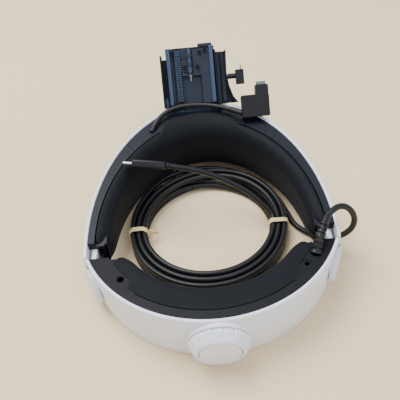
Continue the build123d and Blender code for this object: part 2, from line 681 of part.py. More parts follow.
# ==== bracket ===============================================================================================
with BuildPart() as tray:
    with BuildSketch(bracket):
        with Locations(((TRAY_LEFT + TRAY_RIGHT) / 2, (TRAY_LENGTH + TRAY_FOOT) / 2)):
            Rectangle(TRAY_RIGHT - TRAY_LEFT, TRAY_LENGTH - TRAY_FOOT)
    extrude(amount=-TRAY_THICK)
    # recessed window, cut through; its own plate closes it from behind
    with BuildSketch(bracket):
        with Locations((-2.9, 18.5)):
            Rectangle(17.4, 22.5)
    extrude(amount=-TRAY_THICK, mode=Mode.SUBTRACT)
    # side walls, lower than the tray is long; the right one and the floor beside it flare out at the foot
    with BuildSketch(bracket.offset(-TRAY_THICK)):
        with Locations((TRAY_LEFT + TRAY_WALL / 2, (WALL_LENGTH + WALL_FOOT) / 2)):
            Rectangle(TRAY_WALL, WALL_LENGTH - WALL_FOOT)
    extrude(amount=TRAY_THICK + WALL_HEIGHT)
    flare = [(TRAY_RIGHT, WALL_LENGTH), (TRAY_RIGHT - 0.8, 31.0), (TRAY_RIGHT + 0.8, 19.0), (TRAY_RIGHT + 3.8, 9.5)]
    flare.append((TRAY_RIGHT + 8.0, WALL_FOOT))
    with BuildSketch(bracket.offset(-TRAY_THICK)):
        with BuildLine():
            Polyline(*flare, (TRAY_RIGHT - 3.0, WALL_FOOT), (TRAY_RIGHT - 3.0, WALL_LENGTH), close=True)
        make_face()
    extrude(amount=TRAY_THICK)
    with BuildSketch(bracket.offset(-TRAY_THICK)):
        with BuildLine():
            Polyline(*flare, *[(x - TRAY_WALL, s) for x, s in reversed(flare)], close=True)
        make_face()
    extrude(amount=TRAY_THICK + WALL_HEIGHT)
    # nothing of it reaches below the band's rim but the foot that stands on the frame
    with BuildSketch(Plane.YZ) as under_rim:
        with BuildLine():
            Polyline((60, 0), (60, rim_z(60) + 0.1), (125, rim_z(125) + 0.1), (125, 0), close=True)
        make_face()
    extrude(amount=100, both=True, mode=Mode.SUBTRACT)
    with BuildSketch(Plane.YZ) as foot_side:
        with BuildLine():
            Polyline(
                (BRACKET_Y - 5, rim_z(BRACKET_Y - 5) - FRAME_DROP),
                (BRACKET_Y + 4.5, rim_z(BRACKET_Y + 4.5) - FRAME_DROP),
                (BRACKET_Y + 4.5, FOOT_TOP_Z),
                (BRACKET_Y - 5, FOOT_TOP_Z),
                close=True,
            )
        make_face()
    extrude(amount=21.0, both=True)
keep(tray, "bracket_tray")

for x0, label in ((RAIL_LEFT, "bracket_rail_left"), (RAIL_RIGHT - RAIL_WIDTH, "bracket_rail_right")):
    with BuildPart() as rail:
        with BuildSketch(bracket):
            with Locations((x0 + RAIL_WIDTH / 2, (TRAY_LENGTH + 6) / 2)):
                Rectangle(RAIL_WIDTH, TRAY_LENGTH - 6)
        extrude(amount=RAIL_HEIGHT)
        fillet(rail.faces().sort_by(Axis(bracket.origin, bracket.z_dir))[-1].edges(), 0.8)
    keep(rail, label)

with BuildPart() as bracket_rack:
    with BuildSketch(bracket):
        with Locations((RACK_X, 9.0 + RACK_PITCH * RACK_COUNT / 2)):
            Rectangle(4.4, RACK_PITCH * RACK_COUNT + 1.5)
    extrude(amount=1.4)
    for i in range(RACK_COUNT):
        with BuildSketch(bracket.offset(1.4)):
            with Locations((RACK_X, 9.0 + RACK_PITCH * (i + 0.5))):
                Rectangle(4.4, RACK_PITCH / 2)
        extrude(amount=-0.9, mode=Mode.SUBTRACT)
keep(bracket_rack, "bracket_rack")

with BuildPart() as window_plate:
    with BuildSketch(bracket.offset(-TRAY_THICK)):
        with Locations((-2.9, 18.5)):
            Rectangle(20.4, 25.5)
    extrude(amount=-1.2)
keep(window_plate, "bracket_window_plate")

with BuildPart() as step_plate:
    with BuildSketch(bracket):
        with BuildLine():
            Polyline((6.4, 6.2), (14.2, 6.2), (14.2, TRAY_LENGTH - 2), (-0.6, TRAY_LENGTH - 2), (-0.6, 31.0), (6.4, 31.0), close=True)
        make_face()
    extrude(amount=1.2)
keep(step_plate, "bracket_step_plate")

with BuildPart() as hooks:
    for x, s, lift in ((-18.6, 51.4, 0.0), (-8.0, 38.2, 0.0), (3.4, 38.0, 1.2), (6.3, 50.6, 1.2), (11.0, 52.2, 1.2)):
        with BuildSketch(bracket.offset(lift)):
            with Locations((x, s)):
                Rectangle(2.6, 3.0)
            with Locations((x + 0.7, s)):
                Rectangle(1.4, 1.4, mode=Mode.SUBTRACT)
        extrude(amount=2.4)
keep(hooks, "bracket_hooks")

with BuildPart() as tab:
    with BuildSketch(bracket):
        with Locations((11.2, TRAY_LENGTH + 1.2)):
            Rectangle(12.8, 2.4)
    extrude(amount=-TRAY_THICK)
keep(tab, "bracket_end_tab")

with BuildPart() as bracket_screws:
    for x in (-14.0, 14.0):
        with Locations((BRACKET_X + x, BRACKET_Y - 2.4, FOOT_TOP_Z + 0.4)):
            Cylinder(1.9, 0.8)
keep(bracket_screws, "bracket_screws")

with BuildPart() as latch_rod:
    with BuildSketch(bracket.offset(ROD_R + 0.3)):
        with Locations((ROD_X, 45.5)):
            Rectangle(2 * ROD_R, 18.0)
    extrude(amount=ROD_R * 2, both=False)
    with BuildSketch(bracket.offset(ROD_R + 0.3)):
        with BuildLine():
            Polyline((ROD_X - 2.2, 36.5), (ROD_X + 2.2, 36.5), (ROD_X, 32.5), close=True)
        make_face()
    extrude(amount=1.6)
keep(latch_rod, "latch_rod")

with BuildPart() as latch_guides:
    for s in (41.0, 48.5):
        with BuildSketch(bracket):
            with Locations((ROD_X, s)):
                Rectangle(4.4, 2.2)
        extrude(amount=4.6)
    with BuildSketch(bracket.offset(ROD_R)):
        with Locations((ROD_X, 45)):
            Rectangle(2 * ROD_R + 0.2, 40)
    extrude(amount=ROD_R * 2 + 0.7, mode=Mode.SUBTRACT)
keep(latch_guides, "latch_guides")

# Small flying connector on the bracket's right wall.
STUB_S = 27.3
stub_side = Plane(
    origin=bracket.from_local_coords((TRAY_RIGHT, STUB_S, 3.0)), x_dir=bracket.y_dir, z_dir=bracket.x_dir
)
with BuildPart() as stub_boot:
    with BuildSketch(stub_side):
        Circle(STUB_D / 2 + 0.8)
    extrude(amount=7.0)
keep(stub_boot, "stub_boot")

with BuildPart() as stub_connector:
    with BuildSketch(stub_side.offset(7.0)):
        with Locations((-1.2, 0)):
            RectangleRounded(13.0, 6.4, 1.0)
    extrude(amount=7.4)
    with BuildSketch(stub_side.offset(9.2)):
        with Locations((6.6, 0)):
            Rectangle(2.4, 8)
    extrude(amount=2, mode=Mode.SUBTRACT)
keep(stub_connector, "stub_connector")

with BuildPart() as stub_contact:
    with BuildSketch(Plane(origin=stub_side.from_local_coords((5.3, 0, 12.2)), z_dir=stub_side.x_dir)):
        Circle(0.7)
    extrude(amount=4.0)
keep(stub_contact, "stub_contact")

# ==== cords =================================================================================================
def cord_radii(points):
    """Radius of each arc: 0.45 of the shorter run over the tangent of half the turn."""
    radii = []
    for a, b, c in zip(points, points[1:], points[2:]):
        run_in = Vector(*b) - Vector(*a)
        run_out = Vector(*c) - Vector(*b)
        half_turn = radians(run_in.get_angle(run_out)) / 2
        radii.append(0.45 * min(run_in.length, run_out.length) / tan(half_turn))
    return radii


def cord_tube(points, diameter, label):
    """Sweep a round section along straight runs joined by tangent arcs."""
    radii = cord_radii(points)
    print(label, "arc radii", [round(r, 1) for r in radii])
    with BuildPart() as tube:
        with BuildLine() as route:
            FilletPolyline(*points, radius=radii)
        with BuildSketch(Plane(origin=points[0], z_dir=Vector(*points[1]) - Vector(*points[0]))) as section:
            Circle(diameter / 2)
        sweep(section.sketch, path=route.line)
    print(label, "volume over section times length", round(
        tube.part.volume / (pi * diameter**2 / 4 * route.wire().length), 4), "length", round(route.wire().length, 1))
    keep(tube, label)


# Strain relief: a plug in the top plate and a thick sleeve that bends over the side gap.
RELIEF_SLEEVE_R = 3.3
RELIEF_ROUTE = [(*RELIEF_SPOT, 45.6), (74.9, -66.4, 51.0), (79.3, -58.0, 55.6), (85.3, -46.6, 57.5)]
with BuildPart() as strain_relief:
    with BuildLine() as relief_line:
        FilletPolyline(*RELIEF_ROUTE, radius=cord_radii(RELIEF_ROUTE))
    with BuildSketch(Plane(origin=RELIEF_ROUTE[0], z_dir=Vector(*RELIEF_ROUTE[1]) - Vector(*RELIEF_ROUTE[0]))):
        Circle(RELIEF_SLEEVE_R)
    sweep()
    with Locations((*RELIEF_SPOT, REAR_HEIGHT - 2.0)):
        Cylinder(RELIEF_R, 8.0)
keep(strain_relief, "strain_relief")

LEAD_ROUTE = [
    (85.3, -46.6, 57.5),
    (91.6, -41.2, 59.3),
    (98.6, -37.9, 57.6),
    (104.7, -37.0, 52.4),
    (108.6, -37.6, 45.0),
    (109.4, -37.8, 37.2),
    (107.8, -36.8, 29.2),
    (103.4, -33.0, 19.2),
    (97.2, -26.8, 9.6),
    (90.2, -20.0, 4.0),
    (82.6, -14.2, 2.7),
    (75.8, -7.6, 2.5),
    (70.8, 0.0, 2.5),
    (66.8, 9.0, 2.5),
    (61.5, 19.5, 2.5),
]
cord_tube(LEAD_ROUTE, CORD_D, "cord_lead")

TAIL_ROUTE = [
    (53.6, -0.6, 12.4),
    (51.6, 4.0, 15.6),
    (44.8, 9.6, 21.0),
    (35.0, 15.8, 28.4),
    (26.0, 19.6, 33.4),
    (15.7, 22.4, 38.6),
    (4.6, 23.8, 45.2),
    (-11.6, 24.7, 52.8),
    (-31.6, 25.9, 57.0),
]
cord_tube(TAIL_ROUTE, CORD_D, "cord_tail")

with BuildPart() as rubber_bands:
    for side, y in ((-1, -4.0), (1, -6.0)):
        near = COIL_X + side * (COIL_INNER_R - 0.4)
        far = COIL_X + side * (COIL_OUTER_R + 0.2)
        with BuildSketch(Plane.XZ.offset(-y - BAND_WIDTH / 2)):
            with Locations(((near + far) / 2, COIL_HEIGHT / 2 + BAND_THICK / 2)):
                Rectangle(abs(far - near) + 2 * BAND_THICK, COIL_HEIGHT + BAND_THICK)
                Rectangle(abs(far - near), COIL_HEIGHT - BAND_THICK, mode=Mode.SUBTRACT)
        extrude(amount=BAND_WIDTH)
for band, label in zip(rubber_bands.part.solids().sort_by(Axis.X), ("rubber_band_left", "rubber_band_right")):
    with BuildPart() as one_band:
        add(band)
    keep(one_band, label)

with BuildPart() as cord_coil:
    with Locations((COIL_X, COIL_Y, COIL_HEIGHT / 2)):
        Cylinder(COIL_OUTER_R, COIL_HEIGHT)
        Cylinder(COIL_INNER_R, COIL_HEIGHT, mode=Mode.SUBTRACT)
    add(rubber_bands.part, mode=Mode.SUBTRACT)
keep(cord_coil, "cord_coil")

# Plug on the cord's free end, lying on its side against the forehead pad.
PLUG_BODY = (27.6, 11.4, 6.6)
PLUG_TIP = (7.4, 8.3, 2.4)
plug_back = Vector(*TAIL_ROUTE[-1])
plug_plane = Plane(origin=plug_back, x_dir=(0, 0.72, -0.69), z_dir=plug_back - Vector(*TAIL_ROUTE[-2]) + Vector(-14, 3, -1))
with BuildPart() as plug_body:
    with BuildSketch(plug_plane):
        RectangleRounded(PLUG_BODY[1], PLUG_BODY[2], 2.2)
    extrude(amount=PLUG_BODY[0])
keep(plug_body, "plug_body")

with BuildPart() as plug_tip:
    with BuildSketch(plug_plane.offset(PLUG_BODY[0])):
        RectangleRounded(PLUG_TIP[1], PLUG_TIP[2], 1.1)
        RectangleRounded(PLUG_TIP[1] - 0.8, PLUG_TIP[2] - 0.8, 0.7, mode=Mode.SUBTRACT)
    extrude(amount=PLUG_TIP[0])
    with BuildSketch(plug_plane.offset(PLUG_BODY[0])):
        Rectangle(6.0, 0.7)
    extrude(amount=PLUG_TIP[0] - 1.5)
    with BuildSketch(plug_plane.offset(PLUG_BODY[0])):
        RectangleRounded(PLUG_TIP[1], PLUG_TIP[2], 1.1)
    extrude(amount=0.6)
keep(plug_tip, "plug_tip")

# Link cable across the foot of the bracket, from the frame to its angled plug.
LINK_ROUTE = [
    (-44.0, BRACKET_Y - 24.0, 58.2),
    (-40.2, BRACKET_Y - 15.0, 61.0),
    (-33.0, BRACKET_Y - 6.4, 64.2),
    (-22.0, BRACKET_Y - 1.2, 66.2),
    (-6.0, BRACKET_Y - 0.6, 66.6),
    (11.0, BRACKET_Y - 4.0, 66.8),
    (25.0, BRACKET_Y - 11.0, 66.6),
    (36.6, BRACKET_Y - 18.8, 65.8),
]
cord_tube(LINK_ROUTE, LINK_D, "link_cable")

link_plane = Plane(origin=(36.4, BRACKET_Y - 19.8, 61.4), x_dir=(1, 0, 0), z_dir=(0, -sin(lean_up), cos(lean_up)))
with BuildPart() as link_plug:
    with BuildSketch(link_plane.offset(-5.0)):
        with Locations((12.4, 9.6)):
            RectangleRounded(24.4, 19.2, 1.6)
        with Locations((18.6, 18.7)):
            RectangleRounded(11.4, 17.4, 1.4)
    extrude(amount=9.6)
keep(link_plug, "link_plug")

with BuildPart() as link_tongue:
    with BuildSketch(link_plane.offset(-1.5)):
        with Locations((18.4, 28.7)):
            Rectangle(8.3, 2.6)
    extrude(amount=2.4)
keep(link_tongue, "link_plug_tongue")

with BuildPart() as cable_clip:
    with BuildSketch(bracket):
        with Locations((TRAY_LEFT + 2.8, 8.0)):
            Rectangle(2.2, 9.0)
    extrude(amount=1.0)
keep(cable_clip, "cable_clip")

for builder, label in pieces:
    export_step(builder.part, f"parts/{label}.step")
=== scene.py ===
import bmesh
import bpy
import numpy as np
from mathutils import Matrix


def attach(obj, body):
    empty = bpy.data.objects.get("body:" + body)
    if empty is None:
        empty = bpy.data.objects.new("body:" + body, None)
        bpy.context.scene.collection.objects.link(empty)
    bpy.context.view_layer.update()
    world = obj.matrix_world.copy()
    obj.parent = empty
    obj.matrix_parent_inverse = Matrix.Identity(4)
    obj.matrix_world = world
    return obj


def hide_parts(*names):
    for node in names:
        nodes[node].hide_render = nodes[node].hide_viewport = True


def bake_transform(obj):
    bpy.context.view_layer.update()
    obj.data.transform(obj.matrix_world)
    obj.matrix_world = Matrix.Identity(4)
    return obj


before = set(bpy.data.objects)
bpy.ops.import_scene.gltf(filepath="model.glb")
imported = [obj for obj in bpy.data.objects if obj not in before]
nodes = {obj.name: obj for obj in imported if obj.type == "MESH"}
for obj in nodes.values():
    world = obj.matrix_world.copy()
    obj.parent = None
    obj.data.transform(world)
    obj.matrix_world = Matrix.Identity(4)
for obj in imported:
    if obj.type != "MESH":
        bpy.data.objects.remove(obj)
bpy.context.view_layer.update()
MM = 0.001

# ---- sizes shared with the solids, in millimetres ----------------------------------------------------------
REAR_Y = -20.3          # upright axis of the rear unit
REAR_END_Y = -58.3      # its flat ends
REAR_HEIGHT = 46.0
REAR_FOOT_R = 97.0
REAR_TOP_R = 100.0
BAND_Y = -40.0          # centre of the front band's ellipses
BAND_A = 94.5
BAND_B = 146.0
BAND_END_Y = -57.3
PAD_END_Y = -42.0       # the forehead pad ends short of the band
RIM_END_Z = 47.0        # top edge of the band at its ends
RIM_FRONT_Z = 62.0      # and at the forehead
PAD_FOOT_Z = 15.6       # lower edge of the pad at the forehead
PAD_FOOT_Y = 45.0       # behind this line it rises
PAD_FOOT_RISE = 10.4
PAD_FOOT_RUN = 125.0
WALL = 2.5              # thickness of the white walls
DIAL_Z = 22.5
DIAL_TILT = 7.0
CORD_D = 4.7
LINK_D = 4.2            # the short cable at the bracket
COIL_X = -1.5


# ==== meshes ================================================================================================
def mesh_piece(name, points, faces):
    """A mesh object at the origin from points in millimetres: doubles merged, faces turned outwards,
    smooth but for its sharp edges."""
    mesh = bpy.data.meshes.new(name)
    mesh.from_pydata(np.asarray(points, float) * MM, [], faces)
    shell = bmesh.new()
    shell.from_mesh(mesh)
    bmesh.ops.remove_doubles(shell, verts=shell.verts, dist=1e-6)
    bmesh.ops.recalc_face_normals(shell, faces=shell.faces)
    shell.to_mesh(mesh)
    shell.free()
    mesh.polygons.foreach_set("use_smooth", np.ones(len(mesh.polygons), bool))
    mesh.set_sharp_from_angle(angle=np.radians(38))
    piece = bpy.data.objects.new(name, mesh)
    bpy.context.scene.collection.objects.link(piece)
    return piece


def skin(name, rings, loop=False, hubs=None):
    """Quads between neighbouring closed rings, an array (n, m, 3). The stack closes on itself, or each
    end closes in a fan to its hub, by default the ring's mean."""
    n, m, _ = rings.shape
    last = n if loop else n - 1
    i, j = np.meshgrid(np.arange(last), np.arange(m), indexing="ij")
    k, right = (i + 1) % n, (j + 1) % m
    quads = np.stack([i * m + j, i * m + right, k * m + right, k * m + j], -1).reshape(-1, 4)
    points, faces = rings.reshape(-1, 3), quads.tolist()
    if not loop:
        ends = np.array([rings[0].mean(0), rings[-1].mean(0)] if hubs is None else hubs)
        around = np.arange(m)
        fan = [np.stack([around, (around + 1) % m, np.full(m, n * m)], -1),
               np.stack([(n - 1) * m + around, (n - 1) * m + (around + 1) % m, np.full(m, n * m + 1)], -1)]
        points = np.vstack([points, ends])
        faces = faces + np.concatenate(fan).tolist()
    return mesh_piece(name, points, faces)


def rounded(corners, radii, steps=5):
    """A closed outline in the plane: each corner becomes a quadratic arc that starts and ends its radius
    away along the two sides."""
    corners = np.asarray(corners, float)
    radii = np.broadcast_to(np.asarray(radii, float), len(corners))[:, None]
    back, ahead = np.roll(corners, 1, 0) - corners, np.roll(corners, -1, 0) - corners
    start = corners + radii * back / np.linalg.norm(back, axis=1, keepdims=True)
    end = corners + radii * ahead / np.linalg.norm(ahead, axis=1, keepdims=True)
    t = np.linspace(0, 1, steps)[None, :, None]
    arcs = (1 - t) ** 2 * start[:, None] + 2 * t * (1 - t) * corners[:, None] + t**2 * end[:, None]
    return arcs.reshape(-1, 2)


def smooth(t):
    """0 below 0, 1 above 1, and 3t^2 - 2t^3 between."""
    t = np.clip(t, 0, 1)
    return t * t * (3 - 2 * t)


def unit(v):
    """Vectors brought to length 1."""
    return v / np.linalg.norm(v, axis=-1, keepdims=True)


def disc_frame(origin, axis, up):
    """Origin and three unit directions: to the right, up and out along the axis."""
    out = unit(np.asarray(axis, float))
    right = unit(np.cross(np.asarray(up, float), out))
    return np.asarray(origin, float), right, np.cross(out, right), out


def turned(axes, profile, steps, shape=None):
    """Rings about an axis: profile rows are (radius, height along the axis); shape(radius, height, angle)
    may change the radius."""
    origin, right, up, out = axes
    angle = np.linspace(0, 2 * np.pi, steps, endpoint=False)[None, :]
    r, h = profile[:, 0:1] + 0 * angle, profile[:, 1:2] + 0 * angle
    if shape is not None:
        r = shape(r, h, angle)
    return (origin + (r * np.cos(angle))[..., None] * right + (r * np.sin(angle))[..., None] * up
            + h[..., None] * out)


def open_outline(corners, radii, steps=5):
    """As rounded, but from the first corner to the last without closing."""
    corners = np.asarray(corners, float)
    inner = rounded(corners, radii, steps).reshape(len(corners), steps, 2)[1:-1].reshape(-1, 2)
    return np.vstack([corners[:1], inner, corners[-1:]])


def along(points, steps):
    """Evenly spaced points on a polyline, with unit tangents."""
    points = np.asarray(points, float)
    run = np.r_[0, np.cumsum(np.linalg.norm(np.diff(points, axis=0), axis=1))]
    at = np.linspace(0, run[-1], steps)
    line = np.stack([np.interp(at, run, points[:, c]) for c in range(3)], -1)
    return line, unit(np.gradient(line, axis=0)), at


def tube_rings(line, tangent, side, width, height):
    """Rings round a line: an ellipse in the plane square to the tangent, its first half-width along side.
    Width and height may be arrays (n, m)."""
    across = unit(side - (side * tangent).sum(-1, keepdims=True) * tangent)
    over = np.cross(tangent, across)
    angle = np.linspace(0, 2 * np.pi, np.shape(width)[-1], endpoint=False)
    return (line[:, None] + (width * np.cos(angle))[..., None] * across[:, None]
            + (height * np.sin(angle))[..., None] * over[:, None])


def route_points(curve):
    """The points of a curve's own line, from its NURBS spline."""
    bare = curve.copy()
    bare.data = curve.data.copy()
    bare.data.bevel_depth = 0
    bpy.context.scene.collection.objects.link(bare)
    line = bpy.data.meshes.new_from_object(bare.evaluated_get(bpy.context.evaluated_depsgraph_get()))
    co = np.zeros(len(line.vertices) * 3)
    line.vertices.foreach_get("co", co)
    bpy.data.objects.remove(bare)
    return co.reshape(-1, 3) / MM


def cord_curve(name, points, diameter):
    """A round cord: one open NURBS spline of order 3 through its end points, with the route's points as
    its control points."""
    data = bpy.data.curves.new(name, "CURVE")
    data.dimensions = "3D"
    data.bevel_depth = diameter / 2 * MM
    data.bevel_resolution = 4
    data.use_fill_caps = True
    data.resolution_u = data.render_resolution_u = 6
    spline = data.splines.new("NURBS")
    spline.points.add(len(points) - 1)
    co = np.c_[np.asarray(points, float) * MM, np.ones(len(points))]
    spline.points.foreach_set("co", co.ravel())
    spline.order_u = 3
    spline.use_endpoint_u = True
    spline.use_smooth = True
    piece = bpy.data.objects.new(name, data)
    bpy.context.scene.collection.objects.link(piece)
    return piece


# ==== materials =============================================================================================
def linear(code):
    """An sRGB hex colour as linear RGBA."""
    s = np.array([int(code[i:i + 2], 16) for i in (1, 3, 5)]) / 255
    return (*np.where(s <= 0.04045, s / 12.92, ((s + 0.055) / 1.055) ** 2.4), 1.0)


def add(tree, kind, links=(), **settings):
    """Add a node; settings are its own properties, or input values by name with _ for a space; links are
    (input, output socket)."""
    node = tree.nodes.new(kind)
    for key, value in settings.items():
        if hasattr(node, key):
            setattr(node, key, value)
        else:
            node.inputs[key.replace("_", " ")].default_value = value
    for key, socket in links:
        tree.links.new(socket, node.inputs[key])
    return node


def finish(name, colour, shade, roughness, grain_mm, bump_mm, patch_mm=28.0, rough_spread=0.06, **shader):
    """A moulded or skinned surface: two close colours in soft patches, a fine grain as bump, and
    roughness that drifts with the patches."""
    material = bpy.data.materials.new(name)
    material.use_nodes = True
    tree = material.node_tree
    tree.nodes.clear()
    out = add(tree, "ShaderNodeOutputMaterial")
    place = add(tree, "ShaderNodeTexCoord")
    patches = add(tree, "ShaderNodeTexNoise", [("Vector", place.outputs["Object"])],
                  Scale=1 / (patch_mm * MM), Detail=3.0)
    grain = add(tree, "ShaderNodeTexNoise", [("Vector", place.outputs["Object"])],
                Scale=1 / (grain_mm * MM), Detail=2.0)
    mix = add(tree, "ShaderNodeMix", [("Factor", patches.outputs["Fac"])], data_type="RGBA")
    mix.inputs[6].default_value = linear(colour)
    mix.inputs[7].default_value = linear(shade)
    rough = add(tree, "ShaderNodeMapRange", [("Value", patches.outputs["Fac"])], From_Min=0.3, From_Max=0.7)
    rough.inputs["To Min"].default_value = roughness - rough_spread / 2
    rough.inputs["To Max"].default_value = roughness + rough_spread / 2
    bump = add(tree, "ShaderNodeBump", [("Height", grain.outputs["Fac"])], Strength=0.6,
               Distance=bump_mm * MM)
    surface = add(tree, "ShaderNodeBsdfPrincipled",
                  [("Base Color", mix.outputs[2]), ("Roughness", rough.outputs["Result"]),
                   ("Normal", bump.outputs["Normal"])])
    for key, value in shader.items():
        surface.inputs[key.replace("_", " ")].default_value = value
    tree.links.new(surface.outputs["BSDF"], out.inputs["Surface"])
    return material


# White ABS, moulded in a polished tool: a clean satin with long soft highlights and the faintest orange peel.
white_abs = finish("white_abs_satin", "#EFF3FD", "#E8EDF9", 0.36, 0.9, 0.010, IOR=1.53)
# The same ABS with a lilac cast on the round earphone rests.
lilac_abs = finish("lilac_abs_satin", "#E0E1F2", "#D9DBEE", 0.34, 0.9, 0.010, IOR=1.53)
# Dark polycarbonate blend, moulded in a spark-eroded tool: fine even grain that breaks up the highlights.
navy_pc = finish("navy_polycarbonate_grained", "#141923", "#11151D", 0.46, 0.55, 0.030, IOR=1.58,
                 Specular_IOR_Level=0.2)
# Rear top: the same blend in a blacker mix, with a coarser grain.
black_pc = finish("black_polycarbonate_grained", "#0B0E16", "#090C12", 0.50, 0.50, 0.035, IOR=1.58,
                  Specular_IOR_Level=0.16)
# Bracket: blue-grey glass-filled nylon, a dry satin.
bracket_nylon = finish("bracket_nylon_satin", "#262F3E", "#212936", 0.34, 0.7, 0.020, IOR=1.53,
                       Specular_IOR_Level=0.32)
# Rails: acetal, moulded smooth so that they slide; they catch the light along their crowns.
rail_acetal = finish("rail_acetal_smooth", "#3D4E6B", "#364660", 0.26, 1.2, 0.008, IOR=1.48)
# Pad skin: soft silicone over foam, dead matt with a slight bloom at grazing angles.
pad_silicone = finish("pad_silicone_matt", "#10131A", "#0D1015", 0.62, 0.6, 0.030, IOR=1.41,
                      Specular_IOR_Level=0.18, Sheen_Weight=0.04, Sheen_Roughness=0.5)
# Cable jacket: thermoplastic elastomer, extruded: matt with a soft broad highlight.
jacket_tpe = finish("jacket_elastomer_extruded", "#15161A", "#121316", 0.42, 0.8, 0.020, IOR=1.50,
                    Specular_IOR_Level=0.35)
# Plug shells: harder elastomer, a touch greyer than the jacket.
plug_tpe = finish("plug_elastomer_moulded", "#1B1C1F", "#17181B", 0.42, 0.7, 0.020, IOR=1.50,
                  Specular_IOR_Level=0.3)
# Plated steel of the plug tip: bright, with fine drawing marks.
plated_steel = finish("plated_steel_bright", "#DADCE0", "#C9CCD2", 0.22, 0.4, 0.006, Metallic=1.0)
# Zinc-plated screws: greyer and duller.
zinc_steel = finish("zinc_steel_dull", "#8E9196", "#7E8186", 0.38, 0.5, 0.010, Metallic=1.0)
# Gold flash on the contact pin.
gold_plate = finish("gold_plate_bright", "#E3B45A", "#D2A04A", 0.25, 0.4, 0.006, Metallic=1.0)
# Natural rubber bands: cream, slightly waxy, with a dusty bloom.
natural_rubber = finish("natural_rubber_band", "#E6D3A0", "#D9C48C", 0.55, 0.7, 0.040, patch_mm=6.0,
                        IOR=1.52,
                        Subsurface_Weight=0.15, Subsurface_Radius=(0.004, 0.002, 0.001),
                        Subsurface_Scale=0.3)
# Pale grey moulded pieces: the latch rod, the plug's tongue and the clip.
grey_pom = finish("grey_acetal_moulded", "#7D828B", "#6F747D", 0.40, 0.7, 0.012, IOR=1.48)
# Hidden gears and racks: unpainted nylon.
nylon_gear = finish("nylon_gear_natural", "#6A6C70", "#5E6064", 0.50, 0.6, 0.015, IOR=1.53)
# Circuit board: green solder mask with a wet gloss.
solder_mask = finish("solder_mask_green", "#123F22", "#0E341C", 0.28, 0.8, 0.010, IOR=1.5)

FINISHES = {
    white_abs: ["rear_shell", "dial_knob", "release_button", "front_shell", "side_arm_left",
                "side_arm_right"],
    lilac_abs: ["earbud_holder_left", "earbud_holder_right"],
    navy_pc: ["frame_side_left", "frame_corner_left", "frame_front_left", "frame_centre",
              "frame_front_right",
              "frame_corner_right", "frame_side_right", "pad_carrier", "flex_strap_left",
              "flex_strap_right"],
    black_pc: ["rear_housing", "rear_base_plate", "headphone_jack", "plug_rest_socket"],
    bracket_nylon: ["bracket_tray", "bracket_window_plate", "bracket_hooks", "bracket_end_tab",
                    "bracket_step_plate",
                    "latch_guides"],
    rail_acetal: ["bracket_rail_left", "bracket_rail_right", "bracket_rack", "latch_rod", "cable_clip"],
    pad_silicone: ["rear_pad", "forehead_pad"],
    jacket_tpe: ["stub_boot", "strain_relief", "cord_lead", "cord_tail", "cord_coil", "link_cable"],
    plug_tpe: ["stub_connector", "plug_body", "link_plug"],
    plated_steel: ["plug_tip", "button_spring"],
    zinc_steel: ["rear_base_screws", "bracket_screws", "dial_shaft"],
    gold_plate: ["stub_contact"],
    natural_rubber: ["rubber_band_left", "rubber_band_right"],
    grey_pom: ["link_plug_tongue"],
    nylon_gear: ["dial_bush", "dial_pinion", "detent_plate", "strap_rack_left", "strap_rack_right"],
    solder_mask: ["jack_board"],
}
for material, names in FINISHES.items():
    for name in names:
        slots = nodes[name].data.materials
        slots.clear()
        slots.append(material)


def place(piece, body, material, replaces=(), slot=None):
    """Give a new piece its material, the body it moves with and the solids it stands for. The slot argument is not
    used."""
    piece.data.materials.append(material)
    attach(piece, body)
    if replaces:
        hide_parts(*replaces)
    return piece


# ==== front band ============================================================================================
# Lower edge of the band in side view, as (y, z) from the forehead to an end, and its direction at both.
FOOT_POINTS = np.array([(88.0, 0.0), (60.0, 4.0), (10.0, 15.0), (-62.3, 20.0)])
FOOT_START = (-1.0, 0.0)
FOOT_END = (-1.0, 0.05)


def foot_line(steps=40):
    """The cubic spline through the lower edge's points, ordered by rising y. Its parameter is the chords'
    length, and its second derivative is continuous."""
    chord = np.diff(FOOT_POINTS, axis=0)
    gap = np.linalg.norm(chord, axis=1)
    rate = chord / gap[:, None]
    matrix = np.eye(4)
    target = np.array([FOOT_START, (0, 0), (0, 0), FOOT_END], float)
    for i in (1, 2):
        matrix[i, i - 1:i + 2] = gap[i], 2 * (gap[i - 1] + gap[i]), gap[i - 1]
        target[i] = 3 * (gap[i] * rate[i - 1] + gap[i - 1] * rate[i])
    slope = np.linalg.solve(matrix, target)
    t = np.linspace(0, 1, steps)[:, None]
    spans = [smooth(1 - t) * FOOT_POINTS[i] + smooth(t) * FOOT_POINTS[i + 1]
             + gap[i] * t * (1 - t) * ((1 - t) * slope[i] - t * slope[i + 1]) for i in range(3)]
    return np.vstack(spans)[::-1]


FOOT_LINE = foot_line()


def rim_z(y):
    """Top edge of the band: a straight line in side view."""
    return RIM_END_Z + (RIM_FRONT_Z - RIM_END_Z) * (y - BAND_END_Y) / (BAND_Y + BAND_B - BAND_END_Y)


def foot_z(y):
    """Lower edge of the band: level under the forehead, then rising in one soft curve to the ends."""
    return np.interp(y, FOOT_LINE[:, 0], FOOT_LINE[:, 1])


def pad_foot_z(y):
    """Lower edge of the pad: level at the forehead, then a straight rise to the ends."""
    return PAD_FOOT_Z + PAD_FOOT_RISE * np.clip((PAD_FOOT_Y - y) / PAD_FOOT_RUN, 0, 1)


